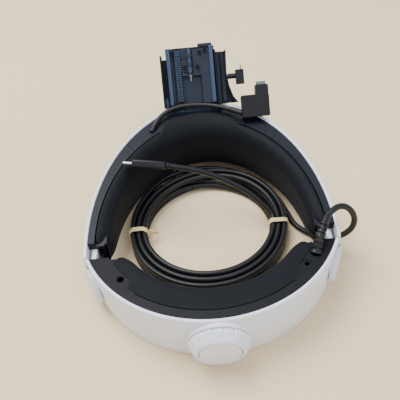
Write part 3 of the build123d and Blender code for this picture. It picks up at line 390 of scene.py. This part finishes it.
def band_rings(a, b, end_y, heights, steps):
    """Sections square across the band from one end to the other. Each section point follows its own
    ellipse, x = a sin t, y = centre + b cos t,
    as far as the flat end. Heights is a function of y and the distance from the end along the band that
    gives z."""
    reach = np.arccos((end_y - BAND_Y) / b)
    t = np.sin(np.linspace(-1, 1, steps) * np.pi / 2)[:, None]
    x, y = a * np.sin(t * reach), BAND_Y + b * np.cos(t * reach)
    return np.stack([x, y, heights(y, (1 - np.abs(t)) * reach * (a + b) / 2)], -1)


def wall_outline(thick, radius):
    """Closed outline of a thin wall: distance in from the outer face, and height, with rounded edges;
    heights are from the foot below 20 and from the rim above."""
    return rounded([(0, 0), (0, 20), (0, 40), (thick, 40), (thick, 20), (thick, 0)],
                   [radius, 1, radius, radius, 1, radius])


def front_shell_rings():
    """The white outer shell: a thin wall with rounded edges."""
    depth, level = wall_outline(WALL, 1.0).T
    z = lambda y, _: np.where(level < 20, foot_z(y) + level,
                              np.where(level > 20, rim_z(y) - 40 + level, (foot_z(y) + rim_z(y)) / 2))
    return band_rings(BAND_A - depth, BAND_B - depth, BAND_END_Y, z, 181)


place(skin("front_band_shell", front_shell_rings()), "front_band", white_abs, ["front_shell"],
      "white_plastic")


def forehead_pad_rings():
    """The pad's section, round the band. From the lip by the frame it is level, then turns down over a
    quarter of a superellipse to a full inner face that swells
    by the half sine of its height, and under to the carrier. It rounds off over the last 10 mm, swells
    over the forehead, and has a soft brow in the middle."""
    over = np.linspace(0, np.pi / 2, 22)
    face = np.linspace(0, 1, 14)[1:]
    under = np.linspace(0, np.pi / 2, 9)[1:]
    inner = np.r_[0, 0, 0.02, np.sin(over)[1:] ** 1.15, 1 + 0 * face, 0.62 + 0.38 * np.cos(under), 0, 0]
    lip = np.r_[1, 1, 0.98, 1 - np.sin(over)[1:] ** 1.15, 0 * face, 0 * under, 0, 0]
    back = 1 - inner - lip
    drop = np.r_[3.0, 0.8, 0.15, 13.0 * (1 - np.cos(over)[1:] ** 0.8), 13.0 + 0 * face, 0 * under, 0, 3.0]
    part = np.r_[0, 0, 0, 0 * over[1:], face, 1 + 0 * under, 1, 0]
    swell = np.r_[0, 0, 0, 0 * over[1:], np.sin(np.pi * face), 0 * under, 0, 0]
    rise = np.r_[0, 0, 0, 0 * over[1:], 0 * face, -5.0 * np.sin(under), -5.0, 0]
    a = 86.3 * lip + 78.5 * back + 75.0 * inner
    b = 122.3 * lip + 121.5 * back + 113.0 * inner

    def heights(y, from_end):
        """z of each section point: the top hangs from the rim, and the rest stands on the pad's lower
        edge."""
        round_off = np.sqrt(1 - (1 - np.clip(from_end / 10, 0, 1)) ** 2)
        top = rim_z(y) - 1.5 - 3.5 * (1 - round_off)
        lift = 1 - np.sqrt(1 - (1 - np.clip(from_end / 30, 0, 1)) ** 2)
        foot = pad_foot_z(y) + 5.0 + (rim_z(y) - pad_foot_z(y) - 24.0) * lift
        return (1 - part) * (top - drop) + part * (foot + rise)

    rings = band_rings(a, b, PAD_END_Y, heights, 241)
    x, y = rings[..., 0].copy(), rings[..., 1].copy()
    from_end = np.clip((y - PAD_END_Y) / 16, 0, 1)
    round_off = np.sqrt(1 - (1 - from_end) ** 2)
    brow = smooth((36 - np.abs(x + 2)) / 8) * smooth((y - 40) / 20)
    rings[..., 0] += np.sign(x) * inner * (7.5 * (1 - round_off)) - np.sign(x) * swell * 0.9
    rings[..., 1] += lip * brow * 8.5 - swell * 1.2 * smooth((y - 40) / 20)
    rings[..., 2] += lip * brow * 3.2 + 0.5 * np.sin(np.clip(inner, 0,
                                                             1) * np.pi) * (drop < 6) * (part < 0.01)
    return rings


forehead_cushion = place(skin("forehead_cushion", forehead_pad_rings()), "front_band", pad_silicone,
                         ["forehead_pad"], "pad_foam")

# ==== rear unit =============================================================================================
def rear_rings(r, z, end_y, steps):
    """Sections of the rear unit turned about its upright axis. Each section point (r, z) turns as far as
    the flat end allows: the arc cosine of the end's distance over r."""
    reach = np.arccos((REAR_Y - end_y) / r)
    t = np.sin(np.linspace(-1, 1, steps) * np.pi / 2)[:, None]
    return np.stack([r * np.sin(t * reach), REAR_Y - r * np.cos(t * reach), z + 0 * t], -1)


def rear_outer_r(z):
    """Outer radius of the leaning wall at a height."""
    return REAR_FOOT_R + (REAR_TOP_R - REAR_FOOT_R) * z / REAR_HEIGHT


outer = [(REAR_FOOT_R, 0), (rear_outer_r(REAR_HEIGHT / 2), REAR_HEIGHT / 2), (REAR_TOP_R, REAR_HEIGHT)]
outline = rounded([*outer, *[(r - WALL, z) for r, z in outer[::-1]]], [1.2, 1, 1.3, 0.7, 1, 0.8])
place(skin("rear_wall", rear_rings(outline[:, 0], outline[:, 1], REAR_END_Y, 161)), "rear_unit", white_abs,
      ["rear_shell"], "white_plastic")

tilt = np.radians(DIAL_TILT)
dial = disc_frame((0, REAR_Y - rear_outer_r(DIAL_Z), DIAL_Z), (0, -np.cos(tilt), -np.sin(tilt)), (0, 0, 1))
boss = open_outline([(0.01, -5.4), (22.2, -5.4), (22.2, 1.6), (0.01, 1.6)], [0.3, 0.3, 0.8, 0.3])
place(skin("dial_boss", turned(dial, boss, 128)), "rear_unit", white_abs, ["rear_shell"], "white_plastic")


FLUTES = 18
GRIP_R = 21.5
FLUTE_WIDTH = 0.62


def fluted(r, h, angle):
    """The grip's cone with narrow flutes: each cuts in by a Gaussian of the angle from its middle, and
    fades out half way up the cone."""
    away = (angle * FLUTES / (2 * np.pi) + 0.5) % 1 - 0.5
    cut = np.exp(-((away * 2 * np.pi / FLUTES * GRIP_R / FLUTE_WIDTH) ** 2)) * smooth((7.4 - h) / 1.6) * (r > 16.5)
    return r - 1.0 * cut


grip = open_outline([(2.9, 5.2), (19.2, 5.2), (19.2, 2.2), (GRIP_R, 2.2), (21.3, 4.2), (17.6, 10.3),
                     (16.9, 10.8), (14.95, 10.8), (14.95, 6.7), (2.9, 6.7)],
                    [0.3, 0.3, 0.3, 0.7, 1.2, 0.8, 0.5, 0.35, 0.3, 0.3])
grip = np.vstack([grip[:1], *[np.linspace(p, q, 7)[1:] if np.linalg.norm(q - p) > 2.5 else q[None] for p,
                              q in zip(grip, grip[1:])]])
place(skin("dial_grip", turned(dial, grip, 360, fluted)), "dial", white_abs, ["dial_knob"], "white_plastic")
cap = open_outline([(0.01, 9.0), (14.4, 9.0), (14.4, 10.8), (0.01, 10.95)], [0.2, 0.2, 0.6, 0.2])
place(skin("button_cap", turned(dial, cap, 128)), "button", white_abs, ["release_button"], "white_plastic")

REST_TURN = 65.0        # degrees round from the dial
REST_R = 102.5
REST_Z = 22.0
for side, name in ((-1, "left"), (1, "right")):
    turn = np.radians(REST_TURN * side)
    out = np.array((np.sin(turn), -np.cos(turn), 0))
    spot = disc_frame((REST_R * out[0], REAR_Y + REST_R * out[1], REST_Z), out, (0, 0, 1))
    rest = open_outline([(0.01, -3.0), (1.5, -3.0), (1.5, 0), (12.6, 0), (14.0, -1.4), (14.0, -4.0),
                         (0.01, -7.0)],
                        [0.1, 0.3, 0.35, 0.8, 1.0, 0.5, 0.1])
    rings = turned(spot, rest, 96)
    ahead = np.clip((rings[..., 1] + 59.5) / 2.5, 0, 1)[..., None] * (rest[:, 1:2] < -3.3)[..., None]
    depth = np.where(rest[:, 1] < -3.3, rest[:, 1] + 3.1, 0)[:, None, None]
    rings = rings - ahead * depth * out
    place(skin(f"earphone_rest_{name}", rings), "rear_unit", lilac_abs, [f"earbud_holder_{name}"],
          "holder_plastic")


def rear_pad_rings():
    """The rear pad: a lip on top that is wide behind the dial and narrow towards the ends, rolled over a
    quarter circle into an inner face that swells towards the
    head by the half sine of its height. Its ends round off over the last 8 mm."""
    over = np.linspace(0, np.pi / 2, 12)[1:]
    face = np.linspace(0, 1, 16)[1:]
    on_lip = np.r_[np.ones(5), 0 * over, 0 * face, 0, 0] > 0
    across = np.r_[1.0, 1.0, 0.985, 0.5, 0.0, 0 * over, 0 * face, 0, 0]
    r = np.r_[0, 0, 0, 0, 74.8, 74.8 - 4.2 * np.sin(over),
              70.6 - 1.6 * np.sin(np.pi * face) ** 0.8 + 3.0 * face**6, 75.3, 75.3]
    z = np.r_[43.8, 45.7, 46.1, 46.25, 46.2, 46.1 - 5.5 * (1 - np.cos(over)), 40.6 - 39.4 * face, 1.0, 43.8]
    t = np.sin(np.linspace(-1, 1, 221) * np.pi / 2)[:, None]
    degrees = np.abs(t) * 58.5
    edge = 90.4 - 6.7 * smooth((degrees - 36.6) / 5.5) - 6.5 * smooth((degrees - 53.5) / 6.0)
    radius = np.where(on_lip, 74.8 + (edge - 74.8) * across, r)
    reach = np.arccos((REAR_Y - REAR_END_Y - 0.3) / np.maximum(radius, 40))
    from_end = (1 - np.abs(t)) * reach * radius
    round_off = np.sqrt(1 - (1 - np.clip(from_end / 8, 0, 1)) ** 2)
    radius = np.where(radius < 75.2, 75.2 - (75.2 - radius) * (0.15 + 0.85 * round_off), radius)
    return np.stack([radius * np.sin(t * reach), REAR_Y - radius * np.cos(t * reach),
                     z - (1 - round_off) * 1.5 * (z > 30)], -1)


rear_cushion = place(skin("rear_cushion", rear_pad_rings()), "rear_unit", pad_silicone, ["rear_pad"],
                     "pad_foam")

# ==== cords =================================================================================================
LEAD_ROUTE = [
    (85.3, -46.6, 57.5), (91.6, -41.2, 59.3), (98.6, -37.9, 57.6), (104.7, -37.0, 52.4),
              (108.6, -37.6, 45.0),
    (109.4, -37.8, 37.2), (107.8, -36.8, 29.2), (103.4, -33.0, 19.2), (97.2, -26.8, 9.6),
              (90.2, -20.0, 4.0),
    (82.6, -14.2, 2.7), (75.8, -7.6, 2.5), (70.8, 0.0, 2.5),
]
TAIL_ROUTE = [
    (53.6, -0.6, 12.4), (51.6, 4.0, 15.6), (44.8, 9.6, 21.0), (35.0, 15.8, 28.4), (26.0, 19.6, 33.4),
              (15.7, 22.4, 38.6),
    (4.6, 23.8, 45.2), (-11.6, 24.7, 52.8), (-31.6, 25.9, 57.0),
]
TURNS = 9
PER_TURN = 16


def coil_route():
    """Nine turns seen from above as circles round the coil's centre. Each turn keeps one place (column,
    row) in a bundle three wide and three high, and moves to
    the next place on the far side, where the bundle opens out: spacing grows by the half sine of the
    angle there, and by less on the near side."""
    columns = np.array([3, 2, 1, 0, 0, 1, 2, 2, 1, 0], float)      # the lead, then the turns
    rows = np.array([0, 0, 0, 0, 1, 1, 1, 2, 2, 2], float)
    count = TURNS * PER_TURN
    angle = np.radians(9) + 2 * np.pi * np.arange(count) / PER_TURN
    angle = angle[angle < 2 * np.pi * TURNS - np.radians(2)]
    turn = (angle // (2 * np.pi)).astype(int)
    local = np.degrees(angle - turn * 2 * np.pi)
    moved = smooth((local - 40) / 100)
    column = columns[turn] + (columns[turn + 1] - columns[turn]) * moved
    row = rows[turn] + (rows[turn + 1] - rows[turn]) * moved
    far = np.sin(np.radians(np.clip(local, 0, 180))) ** 1.2
    near = np.sin(np.radians(np.clip(local - 185, 0, 165) * 180 / 165)) ** 1.3
    spread = 1 + 0.46 * far + 0.20 * near
    radius = 54.1 + 4.8 * column * spread + 0.6 * far * np.sin(7.0 * turn + 0.4)
    radius = radius + 5.0 * np.where(turn == 6, 1.0,
                                     0.0) * smooth((local - 30) / 40) * smooth((150 - local) / 40)
    height = 2.45 + 4.75 * row * (1 + 0.16 * far)
    radius = radius / (0.75 + 0.25 * np.cos(2 * np.pi / PER_TURN))
    return np.stack([COIL_X + radius * np.cos(angle), radius * np.sin(angle), height], -1)


main_cord = cord_curve("main_cord", np.vstack([LEAD_ROUTE, coil_route(), TAIL_ROUTE]), CORD_D)
place(main_cord, "rear_unit", jacket_tpe, ["cord_lead", "cord_coil", "cord_tail"], "cord_jacket")

LINK_ROUTE = [
    (-44.0, 72.0, 58.2), (-40.2, 81.0, 61.0), (-33.0, 89.6, 64.2), (-22.0, 94.8, 66.2), (-6.0, 95.6, 66.6),
    (11.0, 92.0, 66.8), (25.0, 85.0, 66.6), (36.6, 77.2, 65.8),
]
link_cord = cord_curve("link_cord", LINK_ROUTE, LINK_D)
place(link_cord, "front_band", jacket_tpe, ["link_cable"], "cord_jacket")

# ==== bracket ===============================================================================================
LEAN = np.radians(55.2)
BRACKET = (np.array((-2.0, 96.0, 60.0)), np.array((1.0, 0, 0)), np.array((0, np.cos(LEAN), np.sin(LEAN))),
           np.array((0, -np.sin(LEAN), np.cos(LEAN))))


def slabs(name, outlines, bevel=0.22):
    """Flat pieces in one mesh, in the bracket's own plane: each is (corners (x, up the tray), bottom,
    top). A bevel modifier breaks their edges."""
    origin, right, up, out = BRACKET
    points, faces = [], []
    for corners, bottom, top in outlines:
        flat = np.asarray(corners, float)
        flat = origin + flat[:, :1] * right + flat[:, 1:] * up
        n, first = len(flat), len(points)
        points.extend(np.vstack([flat + bottom * out, flat + top * out]).tolist())
        faces.append([first + k for k in range(n)])
        faces.append([first + n + k for k in range(n)])
        faces.extend([first + k, first + (k + 1) % n, first + n + (k + 1) % n,
                      first + n + k] for k in range(n))
    piece = mesh_piece(name, points, faces)
    soft = piece.modifiers.new("edges", "BEVEL")
    soft.width = bevel * MM
    soft.segments = 2
    soft.limit_method = "ANGLE"
    return piece


def block(x0, x1, s0, s1, bottom, top):
    """A rectangle for slabs: across from x0 to x1, and up the tray from s0 to s1."""
    return [(x0, s0), (x1, s0), (x1, s1), (x0, s1)], bottom, top


FLARE = [(29.4, 50.0), (28.6, 31.0), (30.2, 19.0), (33.2, 9.5), (37.4, 3.9)]
tray = [
    block(-24.5, -11.6, 2.0, 55.9, -2.6, -0.8), block(5.8, 19.2, 2.0, 55.9, -2.6, -0.8),
        block(-11.6, 5.8, 29.8, 55.9, -2.6, -0.8),
    block(-11.6, 5.8, 3.0, 7.2, -2.6, -0.1), block(-29.4, -27.9, 3.9, 50.0, -2.6, 7.0),
        block(-27.9, -24.5, 3.9, 47.0, -2.6, -1.4),
    block(19.2, 28.4, 3.9, 50.0, -2.6, -1.4),
    ([*FLARE, *[(x - 1.5, s) for x, s in FLARE[::-1]]], -2.6, 7.0),
    ([(28.0, 31.0), (29.6, 19.0), (32.6, 9.5), (36.6, 3.9), (26.0, 3.9), (26.0, 31.0)], -2.5, -1.5),
    block(19.2, 20.3, 4.0, 52.0, -2.5, 3.2), block(23.2, 24.0, 4.0, 49.0, -1.5, 1.6),
        block(16.2, 18.4, 6.0, 52.0, -0.9, 0.5),
]
place(slabs("tray_walls", tray), "front_band", navy_pc, ["bracket_tray"], "bracket_plastic")

# Cover plates stand on the tray with open seams between them.
plates = [block(-20.2, -18.4, 8.0, 30.8, -0.9, -0.05), block(20.6, 22.9, 4.2, 49.6, -1.5, -0.4),
          block(24.3, 27.4, 6.0, 49.6, -1.5, -0.4)]
for x0, x1 in ((-20.2, -18.4), (-11.4, -0.9)):
    plates += [block(x0, x1, 31.2, 34.0, -0.9, -0.05), block(x0, x1, 34.6, 45.7, -0.9, -0.05),
               block(x0, x1, 46.3, 55.6, -0.9, -0.05)]
place(slabs("tray_plates", plates, 0.12), "front_band", bracket_nylon, (), "bracket_plastic")

foot = skin("tray_foot", np.array([
    [(x, y, z) for x, y, z in ((-23, 91, zf), (19, 91, zf), (19, 100.5, zr), (-23, 100.5, zr))]
    for zf, zr in ((59.45, 60.3), (62.2, 62.2), (63.0, 63.0))]))
place(foot, "front_band", bracket_nylon, (), "bracket_plastic")

# The rack is one dark part. Its teeth take the lighter rail colour as a painted highlight on their crowns, and they
# stand on a strip painted black as shade between them.
place(slabs("rack_gap_painted_shade", [block(-16.2, -11.8, 8.4, 54.4, -0.9, 0.45)]), "front_band", black_pc,
      ["bracket_rack"], "rail_plastic")
RACK_PITCH = 1.6
teeth = [block(-16.0, -12.4, 9.2 + RACK_PITCH * i, 9.95 + RACK_PITCH * i, 0.3, 1.4) for i in range(28)]
teeth += [block(-12.4, -11.8, 8.6, 54.2, 0.3, 1.4), block(-16.4, -15.9, 8.6, 54.2, 0.3, 1.0)]
# The teeth's lighter colour is a painted highlight.
place(slabs("rack_teeth_painted_highlight", teeth, 0.12), "front_band", rail_acetal, (), "rail_plastic")


def hook(x, s, lift, turned_round=False):
    """A square hook with an open side."""
    w = -1.4 if turned_round else 1.4
    corners = [(w, 1.7), (-w, 1.7), (-w, -1.7), (w, -1.7), (w, -0.8), (-w * 0.3, -0.8), (-w * 0.3, 0.8),
               (w, 0.8)]
    return [(x + p, s + q) for p, q in corners], lift, lift + 2.4


hooks = [hook(-18.6, 51.4, -0.1), hook(-8.0, 38.2, -0.1), hook(3.4, 38.0, 1.2, True), hook(6.3, 50.6, 1.2),
         hook(11.0, 52.2, 1.2, True)]
place(slabs("tray_hooks", hooks, 0.15), "front_band", black_pc, ["bracket_hooks"], "bracket_plastic")
pin = [block(-3.9, -2.7, 26.0, 30.2, -0.4, 1.2), block(-4.6, -2.0, 30.2, 32.0, -0.9, 0.6)]
place(slabs("latch_pin", pin), "front_band", grey_pom, (), "grey_plastic")

# ==== flexible straps =======================================================================================
# Each strap runs round inside the rear unit. A copy of its solid, with its placement baked in, stands in for it.
for side in ("left", "right"):
    solid = nodes[f"flex_strap_{side}"]
    strap = bpy.data.objects.new(f"strap_{side}", solid.data.copy())
    strap.matrix_world = solid.matrix_world
    bpy.context.scene.collection.objects.link(strap)
    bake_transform(strap)
    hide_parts(f"flex_strap_{side}")

# ==== strain relief, ties and plugs =========================================================================
RELIEF_ROUTE = [(73.4, -69.8, 45.6), (74.9, -66.4, 51.0), (79.3, -58.0, 55.6), (85.3, -46.6, 57.5)]


def relief_rings():
    """A sleeve round its route: ribs of square profile that a groove parts every 3.3 mm, each groove
    bridged on two opposite sides that alternate from groove to groove;
    then a plain collar that narrows to the cord."""
    guide = cord_curve("relief_guide", RELIEF_ROUTE, 1.0)
    line, tangent, run = along(route_points(guide), 260)
    bpy.data.objects.remove(guide)
    angle = np.linspace(0, 2 * np.pi, 48, endpoint=False)[None, :]
    s = run[:, None]
    share = s / run[-1]
    groove = smooth((np.abs((s / 3.3) % 1 - 0.5) - 0.26) / 0.08) * smooth((s - 2.5) / 0.8) * smooth((21.5 - s) / 0.6)
    bridge = smooth((np.abs(np.cos(angle + np.pi / 2 * np.floor(s / 3.3 + 0.5))) - 0.90) / 0.04)
    radius = 3.65 - 0.55 * share - 1.0 * groove * (1 - bridge) - 0.35 * smooth((s - 22.0) / 0.8)
    radius = radius - 0.25 * smooth((share - 0.93) / 0.07) + 0.9 * np.exp(-((s - 0.6) / 1.1) ** 2)
    side = np.broadcast_to(np.array((1.0, 0, 0)), line.shape)
    return tube_rings(line, tangent, side, radius, radius)


place(skin("ribbed_relief", relief_rings()), "rear_unit", jacket_tpe, ["strain_relief"], "cord_jacket")


def tie_rings(side, y, lean):
    """A rubber band pulled round the bundle: a rounded rectangle in side view, whose flat section sags
    between its corners by a small sine, and which leans a little."""
    near, far = COIL_X + side * 50.9, COIL_X + side * 66.5
    low, high = min(near, far), max(near, far)
    path = rounded([(low, 0.75), (low, 15.5), (high, 15.5), (high, 0.75)], 5.0, 14)
    t = np.arange(len(path)) / len(path) * 2 * np.pi
    line = np.c_[path[:, 0], y + lean * (path[:, 1] - 8) + 0.35 * np.sin(3 * t + side), path[:, 1]]
    tangent = unit(np.roll(line, -1, 0) - np.roll(line, 1, 0))
    across = np.broadcast_to(np.array((0, 1.0, 0)), line.shape)
    section = rounded([(-2.2, -0.5), (2.2, -0.5), (2.2, 0.5), (-2.2, 0.5)], [0.4] * 4, 4)
    over = np.cross(tangent, across)
    return line[:, None] + section[None, :, 0:1] * across[:, None] + section[None, :, 1:2] * over[:, None]


tie_left = place(skin("tie_left", tie_rings(-1, -4.0, 0.06), loop=True), "rear_unit", natural_rubber,
                 ["rubber_band_left"], "rubber_band")
tie_right = place(skin("tie_right", tie_rings(1, -6.0, -0.05), loop=True), "rear_unit", natural_rubber,
                  ["rubber_band_right"], "rubber_band")


def knot_strand(name, points, width):
    """A short flat end of rubber along a curve of three points: a quadratic Bezier, its section an
    ellipse that thins to the tip."""
    p = np.asarray(points, float)
    t = np.linspace(0, 1, 24)[:, None]
    line = (1 - t) ** 2 * p[0] + 2 * t * (1 - t) * p[1] + t**2 * p[2]
    tangent = unit(np.gradient(line, axis=0))
    taper = (0.55 + 0.45 * np.sin(np.pi * np.clip(t * 0.9 + 0.08, 0, 1))) * np.ones((1, 16))
    side = np.broadcast_to(np.array((0.1, 0.3, 1.0)), line.shape)
    return place(skin(name, tube_rings(line, tangent, side, width * taper, 0.55 * taper)), "rear_unit",
                 natural_rubber, (), "rubber_band")


knot = np.array((-50.6, -3.2, 10.6))
strands = [
    knot_strand("tie_knot_turn", knot + [(-1.6, -1.4, -1.2), (2.4, -0.4, 3.4), (1.2, 2.2, -1.0)], 1.4),
    knot_strand("tie_knot_back", knot + [(-1.2, 1.6, 0.8), (2.6, 1.2, -2.4), (1.4, -2.0, 0.6)], 1.4),
    knot_strand("tie_end_upper", knot + [(0.6, 0.4, 0.2), (3.6, 2.4, 1.2), (5.8, 3.4, -1.0)], 1.5),
    knot_strand("tie_end_lower", knot + [(0.6, -0.4, -0.4), (3.8, -0.8, 1.8), (6.6, -1.4, -1.4)], 1.5),
]


def box_rings(axes, sizes):
    """Rings of a box with rounded long edges: sizes rows are (distance along the axis, half width, half
    height, corner radius)."""
    origin, right, up, out = axes
    rings = []
    for d, w, h, r in sizes:
        flat = rounded([(-w, -h), (w, -h), (w, h), (-w, h)], [r] * 4, 7)
        rings.append(origin + d * out + flat[:, 0:1] * right + flat[:, 1:2] * up)
    return np.array(rings)


tail_end, tail_before = np.array(TAIL_ROUTE[-1]), np.array(TAIL_ROUTE[-2])
plug_axis = unit(tail_end - tail_before + np.array((-14.0, 3.0, -1.0)))
flat_side = np.array((0, 0.72, -0.69))
flat_side = unit(flat_side - (flat_side @ plug_axis) * plug_axis)
plug_place = (tail_end, flat_side, np.cross(plug_axis, flat_side), plug_axis)
plug_shell = place(skin("plug_shell", box_rings(plug_place, [
    (-2.6, 2.5, 2.5, 2.2), (-2.4, 2.75, 2.7, 2.4), (-0.2, 2.9, 2.8, 2.4), (0.0, 4.4, 2.7, 1.8),
                                                             (0.5, 5.2, 3.0, 1.8), (1.4, 5.6, 3.25, 1.9),
    (14.0, 5.7, 3.3, 1.9), (26.4, 5.7, 3.3, 1.9), (27.2, 5.5, 3.1, 1.8), (27.6, 4.9, 2.6, 1.6)])),
    "rear_unit", plug_tpe, ["plug_body"], "plug_plastic")
tip_shell = place(skin("plug_tip_shell", box_rings(plug_place, [
    (27.0, 4.1, 1.15, 1.05), (34.6, 4.1, 1.15, 1.05), (34.95, 4.0, 1.05, 1.0), (34.95, 3.75, 0.85, 0.8),
                                                                (29.0, 3.75, 0.85, 0.8)])),
    "rear_unit", plated_steel, ["plug_tip"], "plug_steel")
tongue = place(skin("plug_tip_tongue", box_rings(plug_place, [
    (28.4, 3.2, 0.32, 0.25), (34.0, 3.2, 0.32, 0.25), (34.2, 3.05, 0.22, 0.2)])), "rear_unit", plug_tpe, (),
               "plug_plastic")


def softened(name, node, bevel):
    """A carried-over solid with its edges broken by a bevel modifier."""
    piece = bpy.data.objects.new(name, nodes[node].data.copy())
    piece.matrix_world = nodes[node].matrix_world
    piece.data.transform(piece.matrix_world)
    piece.matrix_world = Matrix.Identity(4)
    piece.data.materials.clear()
    bpy.context.scene.collection.objects.link(piece)
    weld = bmesh.new()
    weld.from_mesh(piece.data)
    bmesh.ops.remove_doubles(weld, verts=weld.verts, dist=1e-6)
    bmesh.ops.dissolve_limit(weld, angle_limit=0.01, verts=weld.verts, edges=weld.edges)
    weld.to_mesh(piece.data)
    weld.free()
    soft = piece.modifiers.new("edges", "BEVEL")
    soft.width = bevel * MM
    soft.segments = 3
    soft.limit_method = "ANGLE"
    soft.angle_limit = np.radians(50)
    return piece


link_shell = place(softened("link_plug_shell", "link_plug", 0.9), "front_band", plug_tpe, ["link_plug"],
                   "plug_plastic")
place(softened("stub_shell", "stub_connector", 0.5), "front_band", plug_tpe, ["stub_connector"],
      "plug_plastic")

# ==== floor, light and camera ===============================================================================
floor_mesh = bpy.data.meshes.new("floor")
floor_mesh.from_pydata([(-3, -3, 0), (3, -3, 0), (3, 3, 0), (-3, 3, 0)], [], [(0, 1, 2, 3)])
floor = bpy.data.objects.new("floor", floor_mesh)
bpy.context.scene.collection.objects.link(floor)
floor_mesh.materials.append(finish("floor_paint_matt", "#F3DEB8", "#ECD6AE", 0.7, 2.0, 0.05,
                                   patch_mm=200.0))

world = bpy.data.worlds.new("studio")
bpy.context.scene.world = world
world.use_nodes = True
world.node_tree.nodes["Background"].inputs["Color"].default_value = linear("#EEF1F7")
world.node_tree.nodes["Background"].inputs["Strength"].default_value = 0.92


def area_light(name, where, size, power, colour="#FFFFFF"):
    """A square soft light that faces the middle of the strap."""
    light = bpy.data.lights.new(name, "AREA")
    light.size = size
    light.energy = power
    light.color = linear(colour)[:3]
    lamp = bpy.data.objects.new(name, light)
    back = unit(np.array(where, float) - np.array((0, 0, 0.03)))
    right = unit(np.cross((0, 1, 0.01), back))
    turn = np.eye(4)
    turn[:3, 0], turn[:3, 1], turn[:3, 2], turn[:3, 3] = right, np.cross(back, right), back, where
    lamp.matrix_world = Matrix(turn.tolist())
    bpy.context.scene.collection.objects.link(lamp)


area_light("key_light", (-0.5, 0.35, 1.5), 1.0, 34.0, "#FDFCFB")
area_light("fill_light", (0.9, -0.9, 1.2), 1.2, 10.0, "#EEF3FF")

# The camera looks down from behind the dial, a little rolled, as a hand-held one is.
ROLL = np.radians(-6.27)
look = unit(np.array((-0.02035, 0.7195, -0.6942)))
level = unit(np.cross(look, (0, 0, 1)))
upright = np.cross(level, look)
turn = np.eye(4)
turn[:3, 0] = np.cos(ROLL) * level + np.sin(ROLL) * upright
turn[:3, 1] = -np.sin(ROLL) * level + np.cos(ROLL) * upright
turn[:3, 2] = -look
turn[:3, 3] = (0.00296, -0.3198, 0.3481)
lens = bpy.data.cameras.new("camera")
lens.lens = 49.46
lens.sensor_width = 36.0
camera = bpy.data.objects.new("camera", lens)
camera.matrix_world = Matrix(turn.tolist())
bpy.context.scene.collection.objects.link(camera)
bpy.context.scene.camera = camera
